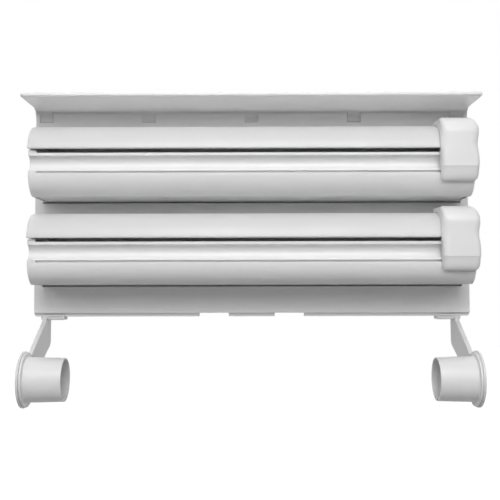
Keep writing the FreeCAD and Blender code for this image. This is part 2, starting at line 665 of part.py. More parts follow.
def slider_clearance(rise):
    """Return the space that the lid and the flap take under the slide cutter, with its gap."""
    floor = HOUSING_UNDERSIDE + rise
    top = lid_top(rise)
    edge = floor + LID_EDGE_HEIGHT
    lid_centre = (curve_depth, top - LID_RADIUS)
    lid_outer = LID_RADIUS + SLIDER_GAP
    trough = (curve_depth, floor + TROUGH_CENTRE_HEIGHT)
    trough_outer = TROUGH_RADIUS + SLIDER_GAP
    step = edge - SLIDER_STEP_BELOW_LID_EDGE
    space = Outline(PANEL_DEPTH, floor)
    space.line(depth_on_circle(trough, trough_outer, floor), floor)
    space.arc(on_circle(trough, trough_outer, trough_middle(trough_outer)),
              (trough_front + SLIDER_GAP, trough[1]))
    space.line(trough_front + SLIDER_GAP, step)
    space.line(depth_on_circle(lid_centre, lid_outer, step), step)
    space.arc(on_circle(lid_centre, lid_outer, 45), (curve_depth, lid_centre[1] + lid_outer))
    space.line(PANEL_DEPTH, lid_centre[1] + lid_outer)
    return space.solid(slider_middle() - SLIDER_WIDTH, slider_middle() + SLIDER_WIDTH)


def slider_shell(rise):
    """Return the slide cutter's hollow grip, rounded along its outer edges."""
    middle = slider_middle()
    left = middle - SLIDER_WIDTH / 2
    right = middle + SLIDER_WIDTH / 2
    outer = slider_outline(rise, 0).solid(left, right)
    outer = rounded_sides(outer, left, right, SLIDER_EDGE_RADIUS)
    inner = slider_outline(rise, SLIDER_WALL).solid(left + SLIDER_WALL, right - SLIDER_WALL)
    inner = rounded_sides(inner, left + SLIDER_WALL, right - SLIDER_WALL, SLIDER_EDGE_RADIUS - SLIDER_WALL)
    shell = outer.cut(inner)
    height = HOUSING_UNDERSIDE + SLIDER_SCREW_HEIGHT + rise
    plate_front = trough_front + CARRIAGE_GAP + CARRIAGE_PLATE
    boss = pin(SLIDER_BOSS_RADIUS, middle, height, plate_front, trough_front + SLIDER_LOBE_PROUD)
    shell = shell.fuse(boss.common(outer))
    screw_end = trough_front + CARRIAGE_GAP + SLIDER_SCREW_HEAD_HEIGHT + SLIDER_SCREW_LENGTH
    hole = pin(SLIDER_SCREW_RADIUS + SCREW_THREAD_FIT, middle, height, plate_front - CUT_PAST,
               screw_end + SCREW_END_ROOM)
    return whole(shell.cut([hole, slider_clearance(rise)]))


def rounded_sides(solid, first_x, last_x, radius):
    """Round the edges of a slide cutter's two flanks, apart from those at its open back."""
    edges = []
    for edge in solid.Edges:
        ends = [vertex.Point for vertex in edge.Vertexes]
        for flank in (first_x, last_x):
            on_flank = all(abs(end.x - flank) < 0.01 for end in ends)
            reaches_out = min(end.y for end in ends) < -trough_front
            if on_flank and reaches_out:
                edges.append(edge)
    return solid.makeFillet(radius, edges)


def slider_carriage(rise):
    """Return the runner that hooks over the flap's lip and rides in its groove."""
    middle = slider_middle()
    floor = HOUSING_UNDERSIDE + rise
    plate_back = trough_front + CARRIAGE_GAP
    plate_front = plate_back + CARRIAGE_PLATE
    edge = floor + LID_EDGE_HEIGHT
    top = edge - CARRIAGE_BELOW_LID_EDGE
    lip_rear = trough_front - LIP_SETBACK - LIP_THICKNESS
    tip_front = lip_rear - HOOK_GAP
    lip_top = edge - TEAR_SLOT_HEIGHT
    hook_first = middle - HOOK_WIDTH / 2
    hook_last = middle + HOOK_WIDTH / 2
    blade = floor + BLADE_HEIGHT
    guide = floor + TROUGH_CENTRE_HEIGHT + GUIDE_GROOVE_ABOVE_TROUGH
    shapes = [
        block(middle - CARRIAGE_WIDTH / 2, middle + CARRIAGE_WIDTH / 2, plate_back, plate_front,
              floor + CARRIAGE_BOTTOM_HEIGHT, top),
        block(hook_first, hook_last, tip_front - HOOK_TIP, plate_front, top - HOOK_THICKNESS, top),
        block(hook_first, hook_last, tip_front - HOOK_TIP, tip_front, lip_top - HOOK_REACH, top),
        block(hook_first, hook_last, trough_front - GUIDE_GROOVE_DEPTH + GUIDE_RIB_TIP_GAP, plate_front,
              guide - GUIDE_RIB_THICKNESS / 2, guide + GUIDE_RIB_THICKNESS / 2),
        block(middle - BLADE_WIDTH / 2 - HOUSING_WALL / 2, middle + BLADE_WIDTH / 2 + HOUSING_WALL / 2,
              plate_back, plate_front + BLADE_ROOT, blade - BLADE_THICKNESS / 2 - BLADE_LEDGE_HEIGHT,
              blade - BLADE_THICKNESS / 2),
    ]
    carriage = join(shapes)
    fit = BLADE_SLOT_FIT
    blade_slot = block(middle - BLADE_WIDTH / 2 - fit, middle + BLADE_WIDTH / 2 + fit,
                       plate_back - CUT_PAST, plate_front,
                       blade - BLADE_THICKNESS / 2, blade + BLADE_THICKNESS / 2 + fit)
    height = floor + SLIDER_SCREW_HEIGHT
    hole = pin(SLIDER_SCREW_RADIUS + SCREW_THREAD_FIT, middle, height, plate_back - CUT_PAST,
               plate_front + CUT_PAST)
    sink = pin(SLIDER_SCREW_HEAD_RADIUS + BLADE_SLOT_FIT, middle, height, plate_back - CUT_PAST,
               plate_back + SLIDER_SCREW_HEAD_HEIGHT)
    return whole(carriage.cut([blade_slot, hole, sink]))


def cutter_blade(rise):
    """Return the flat pointed blade, ground to an edge along both sides of its tip."""
    middle = slider_middle()
    height = HOUSING_UNDERSIDE + BLADE_HEIGHT + rise
    root = trough_front + CARRIAGE_GAP + CARRIAGE_PLATE + BLADE_ROOT
    shoulder = trough_front + CARRIAGE_GAP
    channel_back = trough_front + CHANNEL_FORWARD - CHANNEL_RADIUS
    tip = channel_back + BLADE_TIP_GAP
    half = BLADE_WIDTH / 2
    bottom = height - BLADE_THICKNESS / 2
    points = [(middle - half, root), (middle + half, root), (middle + half, shoulder),
              (middle + BLADE_TIP_WIDTH / 2, tip), (middle - BLADE_TIP_WIDTH / 2, tip),
              (middle - half, shoulder)]
    corners = [vector(x, depth, bottom) for x, depth in points]
    face = Part.Face(Part.makePolygon(corners + corners[:1]))
    return face.extrude(FreeCAD.Vector(0, 0, BLADE_THICKNESS))


def slider_screw(rise):
    """Return the screw that holds the grip on its carriage."""
    middle = slider_middle()
    height = HOUSING_UNDERSIDE + SLIDER_SCREW_HEIGHT + rise
    back = trough_front + CARRIAGE_GAP
    head = pin(SLIDER_SCREW_HEAD_RADIUS, middle, height, back, back + SLIDER_SCREW_HEAD_HEIGHT)
    shaft = pin(SLIDER_SCREW_RADIUS, middle, height, back + SLIDER_SCREW_HEAD_HEIGHT / 2,
                back + SLIDER_SCREW_HEAD_HEIGHT + SLIDER_SCREW_LENGTH)
    slot = block(middle - SLIDER_SCREW_HEAD_RADIUS, middle + SLIDER_SCREW_HEAD_RADIUS, back,
                 back + DRIVER_SLOT_DEPTH, height - DRIVER_SLOT_WIDTH / 2, height + DRIVER_SLOT_WIDTH / 2)
    return whole(head.fuse(shaft).cut(slot))


def roll_arm(outer_face):
    """Return the left roll arm, with its outer face this far to the left of the middle."""
    face = -outer_face
    inside = face + ARM_THICKNESS
    axle = (AXLE_DEPTH, -AXLE_DROP)
    front_top = -(RAIL_THICKNESS + SHOE_GAP)
    front_corner = (ARM_FRONT_DEPTH, front_top - ARM_FRONT_DROP)
    run = AXLE_DEPTH - ARM_FRONT_DEPTH
    front_end = (AXLE_DEPTH, front_corner[1] - ARM_SLOPE * run)
    rear_low = (ARM_REAR_DEPTH, -ARM_REAR_BOTTOM)
    rear_end = (AXLE_DEPTH, -ARM_REAR_BOTTOM - ARM_SLOPE * (AXLE_DEPTH - ARM_REAR_DEPTH))
    plate = polygon([(SHOE_REAR_DEPTH, front_top), (ARM_FRONT_DEPTH, front_top), front_corner, front_end,
                     rear_end, rear_low, (ARM_REAR_DEPTH, -ARM_REAR_TOP)], face, inside)
    disc = peg(DISC_RADIUS, face, face + DISC_THICKNESS, *axle)
    relief = peg(SPIGOT_FLANGE_RADIUS + FLANGE_RELIEF_GAP, face + DISC_THICKNESS, inside + CUT_PAST, *axle)
    first = face - SHOE_OVERHANG
    last = first + SHOE_LENGTH
    lip_back = rail_front + SLIDE_GAP
    lip_front = lip_back + SHOE_LIP_THICKNESS
    plate_bottom = front_top - SHOE_PLATE
    stem_back = RAIL_SLOT_DEPTH - RAIL_SLOT_WIDTH / 2 + SLIDE_GAP
    stem_front = RAIL_SLOT_DEPTH + RAIL_SLOT_WIDTH / 2 - SLIDE_GAP
    hub_end = face + DISC_THICKNESS + SPIGOT_GAP + HUB_LENGTH + AXLE_END_PLAY
    shapes = [
        plate.cut(relief),
        disc,
        block(first, last, SHOE_REAR_DEPTH, lip_front, plate_bottom, front_top),
        block(first, last, lip_back, lip_front, plate_bottom, -SHOE_LIP_TOP),
        block(first, last, stem_back, stem_front, front_top - SHOE_PLATE / 2,
              SLIDE_GAP + HEAD_THICKNESS / 2),
        block(first, last, RAIL_WEB + SLIDE_GAP, skin_back - SLIDE_GAP, SLIDE_GAP,
              SLIDE_GAP + HEAD_THICKNESS),
        peg(AXLE_RADIUS, face + DISC_THICKNESS / 2, hub_end, *axle),
        snap_head(hub_end, axle),
    ]
    arm = join(shapes)
    pocket = block(inside + SHOE_POCKET_RIM, last - SHOE_POCKET_RIM, lip_front - SHOE_POCKET_DEPTH,
                   lip_front + CUT_PAST, plate_bottom + SHOE_POCKET_RIM, -SHOE_LIP_TOP - SHOE_POCKET_RIM)
    split = block(face + DISC_THICKNESS + AXLE_SPLIT, hub_end + AXLE_SNAP_LENGTH + CUT_PAST,
                  axle[0] - AXLE_SPLIT / 2, axle[0] + AXLE_SPLIT / 2,
                  axle[1] - AXLE_SNAP_RADIUS, axle[1] + AXLE_SNAP_RADIUS)
    return whole(arm.cut([pocket, split]))


def snap_head(start, axle):
    """Return the cone-nosed head that keeps the spigot on its axle."""
    return Part.makeCone(AXLE_SNAP_RADIUS, AXLE_RADIUS - AXLE_SPLIT / 2, AXLE_SNAP_LENGTH,
                         vector(start, *axle), FreeCAD.Vector(1, 0, 0))


def spigot(outer_face):
    """Return the left spigot: flange, tapered tube, hub and ribs, around the arm's axle."""
    face = -outer_face
    axle = (AXLE_DEPTH, -AXLE_DROP)
    back = face + DISC_THICKNESS + SPIGOT_GAP
    mouth = face + SPIGOT_REACH
    centre = vector(back, *axle)
    along = FreeCAD.Vector(1, 0, 0)
    length = mouth - back
    tube = Part.makeCone(SPIGOT_ROOT_RADIUS, SPIGOT_MOUTH_RADIUS, length, centre, along)
    bore = Part.makeCone(SPIGOT_ROOT_RADIUS - SPIGOT_WALL, SPIGOT_MOUTH_RADIUS - SPIGOT_WALL, length,
                         centre, along)
    flange = peg(SPIGOT_FLANGE_RADIUS, back, back + SPIGOT_FLANGE, *axle)
    hub = peg(HUB_RADIUS, back, back + HUB_LENGTH, *axle)
    rib_end = back + HUB_LENGTH - 2 * HUB_RIB
    ribs = []
    for index in range(HUB_RIB_COUNT):
        rib = block(back + SPIGOT_FLANGE / 2, rib_end, axle[0] + HUB_RADIUS - HUB_RIB,
                    axle[0] + SPIGOT_MOUTH_RADIUS - SPIGOT_WALL / 2,
                    axle[1] - HUB_RIB / 2, axle[1] + HUB_RIB / 2)
        rib.rotate(vector(0, *axle), along, 360 / HUB_RIB_COUNT * (index + 0.5))
        ribs.append(rib)
    cup = join([tube.cut(bore), flange, hub] + ribs)
    hole = peg(AXLE_RADIUS + AXLE_FIT, back - CUT_PAST, back + HUB_LENGTH + CUT_PAST, *axle)
    return whole(cup.cut(hole))


def pieces():
    """Return every piece by its node's name."""
    made = {"back_panel": back_panel(), "top_shelf": top_shelf()}
    for name, rise in (("lower", 0.0), ("upper", HOUSING_PITCH)):
        made[name + "_top_cover"] = lid(rise)
        made[name + "_cover_screws"] = lid_screws(rise)
        made[name + "_front_flap"] = front_flap(rise)
        made[name + "_slider_shell"] = slider_shell(rise)
        made[name + "_slider_carriage"] = slider_carriage(rise)
        made[name + "_cutter_blade"] = cutter_blade(rise)
        made[name + "_slider_screw"] = slider_screw(rise)
    made["left_roll_arm"] = roll_arm(left_arm_face)
    made["right_roll_arm"] = mirrored(roll_arm(right_arm_face))
    made["left_spigot"] = spigot(left_arm_face)
    made["right_spigot"] = mirrored(spigot(right_arm_face))
    return made


os.makedirs("parts", exist_ok=True)
for node, shape in pieces().items():
    shape.exportStep(os.path.join("parts", node + ".step"))
    print(node, "solids", len(shape.Solids), "valid", shape.isValid(), "volume", round(shape.Volume, 1))
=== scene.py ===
"""The looks of a white wall-mounted kitchen roll dispenser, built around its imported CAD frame.

The object has a wall panel with a shelf, two film housings with tilting flaps and slide cutters,
and two sliding arms with turning spigots for a paper roll. Lengths in the classes are millimetres:
x to the right, depth out from the wall and height up. The meshes are in metres, with depth on -Y.
"""

import json
import logging
import math
from dataclasses import dataclass, field
from enum import Enum
from functools import cache
from typing import Any, Sequence

import bmesh
import bpy
import numpy as np
from mathutils import Matrix, Vector


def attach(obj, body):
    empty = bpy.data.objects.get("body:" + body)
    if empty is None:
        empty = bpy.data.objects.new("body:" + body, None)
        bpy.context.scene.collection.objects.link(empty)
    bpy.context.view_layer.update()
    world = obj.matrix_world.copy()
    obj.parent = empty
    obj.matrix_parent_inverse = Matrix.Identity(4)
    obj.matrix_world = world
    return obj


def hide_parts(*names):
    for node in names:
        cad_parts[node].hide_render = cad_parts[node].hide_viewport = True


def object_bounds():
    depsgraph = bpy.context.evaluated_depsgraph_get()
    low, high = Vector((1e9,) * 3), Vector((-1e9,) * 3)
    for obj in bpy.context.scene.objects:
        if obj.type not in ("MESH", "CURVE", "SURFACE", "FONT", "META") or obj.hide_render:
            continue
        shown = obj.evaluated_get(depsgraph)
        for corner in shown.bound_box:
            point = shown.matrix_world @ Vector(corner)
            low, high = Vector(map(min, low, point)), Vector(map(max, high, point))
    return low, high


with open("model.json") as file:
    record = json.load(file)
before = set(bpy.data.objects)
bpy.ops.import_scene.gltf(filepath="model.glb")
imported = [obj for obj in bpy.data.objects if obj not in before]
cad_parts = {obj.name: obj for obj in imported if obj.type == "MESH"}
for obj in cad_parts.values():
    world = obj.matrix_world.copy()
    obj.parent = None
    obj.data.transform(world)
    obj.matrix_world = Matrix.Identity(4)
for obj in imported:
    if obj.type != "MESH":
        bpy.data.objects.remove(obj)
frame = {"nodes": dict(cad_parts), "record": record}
cad_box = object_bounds()

log = logging.getLogger("dispenser")

PAST = 1.0  # mm that a cutting shape reaches past what it cuts
LAP = 0.5  # mm that a joined shape reaches into its neighbour
MERGE = 0.001  # mm within which points are one
LEAST_ROUNDING = 0.03  # mm of radius that a rounded corner keeps when its outline is drawn in
SHARP_ANGLE = 34.0  # degrees above which an edge is shaded sharp
WHITE = (1.0, 1.0, 1.0, 1.0)


def linear(code: str) -> tuple[float, float, float, float]:
    """Turn an sRGB hex colour into linear light.

    A channel c of 0 to 1 becomes c / 12.92 up to 0.04045, and ((c + 0.055) / 1.055) ** 2.4 above.

    Args:
        code: Six hex digits, such as "E6E6E6".

    Returns:
        Red, green, blue and an alpha of 1.
    """
    channels = [int(code[index:index + 2], 16) / 255 for index in (0, 2, 4)]
    red, green, blue = (c / 12.92 if c <= 0.04045 else ((c + 0.055) / 1.055) ** 2.4
                        for c in channels)
    return red, green, blue, 1.0


def add_node(tree: bpy.types.NodeTree, kind: str, inputs: dict[Any, Any] | None = None,
             **settings: Any) -> bpy.types.Node:
    """Add one node with its settings, values and links.

    Args:
        tree: The node tree that gets the node.
        kind: Blender's name of the node's type.
        inputs: Socket names or numbers with a value, or with the output socket to link.
        settings: The node's own properties.

    Returns:
        The new node.
    """
    node = tree.nodes.new(kind)
    for name, value in settings.items():
        setattr(node, name, value)
    for socket, value in (inputs or {}).items():
        if isinstance(value, bpy.types.NodeSocket):
            tree.links.new(value, node.inputs[socket])
        else:
            node.inputs[socket].default_value = value
    return node


def empty_tree(owner: bpy.types.Material | bpy.types.World) -> bpy.types.NodeTree:
    """Empty the node tree of a material or a world.

    Args:
        owner: The material or world.

    Returns:
        The tree.
    """
    owner.use_nodes = True
    owner.node_tree.nodes.clear()
    return owner.node_tree


def noise(tree: bpy.types.NodeTree, place: bpy.types.NodeSocket, size_mm: float, detail: float,
          roughness: float = 0.5) -> bpy.types.NodeSocket:
    """Add noise with a pattern of about this size.

    Args:
        tree: The material's node tree.
        place: The coordinates in metres.
        size_mm: The spacing of the pattern.
        detail: How many finer layers it has.
        roughness: How strong these layers are.

    Returns:
        The grey output, from 0 to 1.
    """
    made = add_node(tree, "ShaderNodeTexNoise", {
        "Vector": place, "Scale": 1000 / size_mm, "Detail": detail, "Roughness": roughness})
    return made.outputs["Fac"]


def bump(tree: bpy.types.NodeTree, height: bpy.types.NodeSocket, depth_mm: float,
         below: bpy.types.NodeSocket | None = None) -> bpy.types.NodeSocket:
    """Add relief.

    Args:
        tree: The material's node tree.
        height: The grey input.
        depth_mm: The height of the relief between 0 and 1.
        below: The normals of a relief that this one lies on.

    Returns:
        The normals.
    """
    inputs = {"Height": height, "Distance": depth_mm / 1000}
    if below:
        inputs["Normal"] = below
    return add_node(tree, "ShaderNodeBump", inputs).outputs["Normal"]


class Look:
    """A finish, made into a node material by the shader that its own class builds."""

    name: str
    roughness: float
    roughness_swing: float

    def polish(self, tree: bpy.types.NodeTree, value: bpy.types.NodeSocket,
               span: tuple[float, float] = (0.0, 1.0)) -> bpy.types.NodeSocket:
        """Turn a grey value into a roughness that swings about the finish's own.

        Args:
            tree: The material's node tree.
            value: The grey input.
            span: The grey values that give the least and the greatest roughness.

        Returns:
            The roughness.
        """
        return add_node(tree, "ShaderNodeMapRange", {
            "Value": value, "From Min": span[0], "From Max": span[1],
            "To Min": self.roughness - self.roughness_swing,
            "To Max": self.roughness + self.roughness_swing}).outputs["Result"]

    def shader(self, tree: bpy.types.NodeTree, place: bpy.types.NodeSocket) -> bpy.types.Node:
        """Build the shader from the coordinates on the object."""
        raise NotImplementedError

    def material(self) -> bpy.types.Material:
        """Build the node material.

        Returns:
            The material.
        """
        material = bpy.data.materials.new(self.name)
        tree = empty_tree(material)
        shader = self.shader(tree, add_node(tree, "ShaderNodeTexCoord").outputs["Object"])
        add_node(tree, "ShaderNodeOutputMaterial", {"Surface": shader.outputs["BSDF"]})
        return material


@dataclass(frozen=True)
class MouldedPlastic(Look):
    """Injection-moulded polystyrene or ABS: bright, dense and evenly coloured, with a soft gloss.

    A polished tool leaves slow waves where thick walls shrank, which bend the highlights, and a
    finer cloud of duller and glossier spots from handling. Both are drawn as noise in object space.
    """

    name: str
    colour: str
    shade: str
    roughness: float = 0.34
    roughness_swing: float = 0.05
    wave_mm: float = 34.0
    wave_height_mm: float = 0.008
    grain_mm: float = 0.9
    grain_height_mm: float = 0.006
    cloud_mm: float = 60.0
    bleed_mm: float = 0.6
    bleed_share: float = 0.08
    refraction: float = 1.53
    cloud_span: tuple[float, float] = (0.3, 0.7)

    def shader(self, tree: bpy.types.NodeTree, place: bpy.types.NodeSocket) -> bpy.types.Node:
        """Build the shader from cloud, waves and grain.

        Args:
            tree: The material's node tree.
            place: The coordinates on the object.

        Returns:
            The shader's node.
        """
        cloud = noise(tree, place, self.cloud_mm, 3.0, 0.6)
        tone = add_node(tree, "ShaderNodeMix", {
            "Factor": cloud, 6: linear(self.colour), 7: linear(self.shade)}, data_type="RGBA")
        waves = bump(tree, noise(tree, place, self.wave_mm, 1.0, 0.4), self.wave_height_mm)
        grain = noise(tree, place, self.grain_mm, 2.0, 0.6)
        return add_node(tree, "ShaderNodeBsdfPrincipled", {
            "Base Color": tone.outputs[2], "Roughness": self.polish(tree, cloud, self.cloud_span),
            "IOR": self.refraction, "Normal": bump(tree, grain, self.grain_height_mm, waves),
            "Subsurface Weight": self.bleed_share, "Subsurface Radius": (1.0, 1.0, 1.0),
            "Subsurface Scale": self.bleed_mm / 1000})


@dataclass(frozen=True)
class GroundSteel(Look):
    """Hardened stainless steel, ground flat: bright, with fine scratches along the grinding.

    The scratches are noise stretched along X, a few tenths of a millimetre wide so that they show.
    """

    name: str
    colour: str = "C9CACC"
    roughness: float = 0.24
    scratch_mm: float = 0.25
    stretch: float = 0.04
    depth_mm: float = 0.004
    roughness_swing: float = 0.08

    def shader(self, tree: bpy.types.NodeTree, place: bpy.types.NodeSocket) -> bpy.types.Node:
        """Build the shader from the scratches.

        Args:
            tree: The material's node tree.
            place: The coordinates on the object.

        Returns:
            The shader's node.
        """
        drawn = add_node(tree, "ShaderNodeMapping", {
            "Vector": place, "Scale": (self.stretch, 1.0, 1.0)})
        scratch = noise(tree, drawn.outputs["Vector"], self.scratch_mm, 4.0)
        return add_node(tree, "ShaderNodeBsdfPrincipled", {
            "Base Color": linear(self.colour), "Metallic": 1.0,
            "Roughness": self.polish(tree, scratch), "Normal": bump(tree, scratch, self.depth_mm)})


class Finish(Enum):
    """The finishes, by the first word of the record's material slot that has them."""

    PANEL = MouldedPlastic("moulded_polystyrene_panel", "F0F0F0", "EBEBEB",
                           bleed_mm=1.0, bleed_share=0.15)
    SHELF = MouldedPlastic("moulded_polystyrene_shelf", "F1F1F1", "EDEDED",
                           bleed_mm=5.0, bleed_share=1.0)
    COVER = MouldedPlastic("moulded_abs_cover", "F0F0F0", "ECECEC", bleed_mm=7.0, bleed_share=0.9)
    FLAP = MouldedPlastic("moulded_abs_flap", "F1F1F1", "EDEDED", bleed_mm=3.0, bleed_share=0.5)
    SLIDER = MouldedPlastic("moulded_abs_slider", "EEEEEE", "E9E9E9", roughness=0.36)
    CARRIAGE = MouldedPlastic("moulded_acetal_carriage", "DEDEDC", "D6D6D4",
                              roughness=0.45, bleed_mm=1.5)
    ARM = MouldedPlastic("moulded_abs_arm", "E2E2E2", "DDDDDD")
    SPIGOT = MouldedPlastic("moulded_abs_spigot", "EEEEEE", "E9E9E9",
                            roughness=0.38, bleed_mm=2.5, bleed_share=0.5)
    BLADE = GroundSteel("ground_stainless_blade")
    SCREW = GroundSteel("zinc_plated_screw", "C4C6C8", roughness=0.34, scratch_mm=0.4, stretch=1.0)


@cache
def material_of(slot: str) -> bpy.types.Material:
    """Return the material of one of the record's slots, such as panel_plastic, built once."""
    return Finish[slot.split("_")[0].upper()].value.material()


@dataclass
class Shape:
    """A closed mesh in millimetres, as arrays of points, four-sided faces and flat end faces."""

    points: np.ndarray
    quads: np.ndarray
    caps: list[np.ndarray]

    def mirrored(self) -> "Shape":
        """Return the mirror image in the plane X = 0."""
        return Shape(self.points * (-1.0, 1.0, 1.0), self.quads, self.caps)

    def rolled(self, angle: float, depth: float, height: float) -> "Shape":
        """Return the shape turned about a line along X.

        Args:
            angle: The turn in degrees.
            depth: The line's depth.
            height: The line's height.

        Returns:
            The turned shape.
        """
        turn = math.radians(angle)
        centre = np.array((0.0, -depth, height))
        matrix = np.array(((1.0, 0.0, 0.0), (0.0, math.cos(turn), -math.sin(turn)),
                           (0.0, math.sin(turn), math.cos(turn))))
        return Shape((self.points - centre) @ matrix.T + centre, self.quads, self.caps)

    def mesh(self, name: str) -> bpy.types.Mesh:
        """Make a Blender mesh in metres.

        Args:
            name: The mesh's name.

        Returns:
            The clean mesh.
        """
        mesh = bpy.data.meshes.new(name)
        faces = self.quads.tolist() + [cap.tolist() for cap in self.caps]
        mesh.from_pydata((self.points / 1000).tolist(), [], faces)
        tidy(mesh)
        return mesh


def tidy(mesh: bpy.types.Mesh) -> None:
    """Merge doubled points, drop faces without area and turn every face outward.

    Args:
        mesh: The mesh, which is changed.
    """
    work = bmesh.new()
    work.from_mesh(mesh)
    bmesh.ops.remove_doubles(work, verts=work.verts, dist=MERGE / 1000)
    bmesh.ops.dissolve_degenerate(work, edges=work.edges, dist=MERGE / 1000)
    bmesh.ops.recalc_face_normals(work, faces=work.faces)
    work.to_mesh(mesh)
    work.free()


def together(shapes: Sequence[Shape]) -> Shape:
    """Gather several shapes that don't touch into one.

    Args:
        shapes: The shapes.

    Returns:
        One shape with all their points and faces.
    """
    starts = np.cumsum([0] + [len(shape.points) for shape in shapes[:-1]])
    return Shape(np.vstack([shape.points for shape in shapes]),
                 np.vstack([shape.quads + start for shape, start in zip(shapes, starts)]),
                 [cap + start for shape, start in zip(shapes, starts) for cap in shape.caps])


def both_sides(shape: Shape) -> list[Shape]:
    """Return a shape and its mirror image in the plane X = 0."""
    return [shape, shape.mirrored()]


def skinned(rows: np.ndarray, ring: bool = False) -> Shape:
    """Join rows of points into a closed skin.

    The surface is a grid of two parameters: the place along a row, which closes on itself, and the
    number of the row. A grid square has the corners (i, j), (i, j + 1), (i + 1, j + 1) and
    (i + 1, j).

    Args:
        rows: The points, as rows by places by three coordinates.
        ring: Whether the last row joins the first. If not, both get a flat end face.

    Returns:
        The closed shape.
    """
    count, size = rows.shape[:2]
    here = np.arange(count * size).reshape(count, size)
    beside = np.roll(here, -1, axis=1)
    after, across = np.roll(here, -1, axis=0), np.roll(beside, -1, axis=0)
    squares = np.stack((here, beside, across, after), axis=-1)
    if ring:
        return Shape(rows.reshape(-1, 3), squares.reshape(-1, 4), [])
    return Shape(rows.reshape(-1, 3), squares[:-1].reshape(-1, 4), [here[0][::-1], here[-1]])


def on_circle(centre: Sequence[float], radius: float, degrees: np.ndarray | float) -> np.ndarray:
    """Return the points of a circle at these angles."""
    angles = np.radians(degrees)
    return np.array(centre) + radius * np.stack((np.cos(angles), np.sin(angles)), axis=-1)


class Axis(Enum):
    """The direction along which an outline is carried, and the two directions it is drawn in."""

    X = "drawn in depth and height"
    DEPTH = "drawn in x and height"
    HEIGHT = "drawn in x and depth"

    def place(self, first: np.ndarray, second: np.ndarray, along: np.ndarray) -> np.ndarray:
        """Turn coordinates into points.

        Args:
            first: The first drawn coordinate.
            second: The second one.
            along: The coordinate along the axis.

        Returns:
            An array of the same shape with x, y and z at its end.
        """
        first, second, along = np.broadcast_arrays(first, second, along)
        if self is Axis.X:
            return np.stack((along, -first, second), axis=-1)
        if self is Axis.DEPTH:
            return np.stack((first, -along, second), axis=-1)
        return np.stack((first, -second, along), axis=-1)


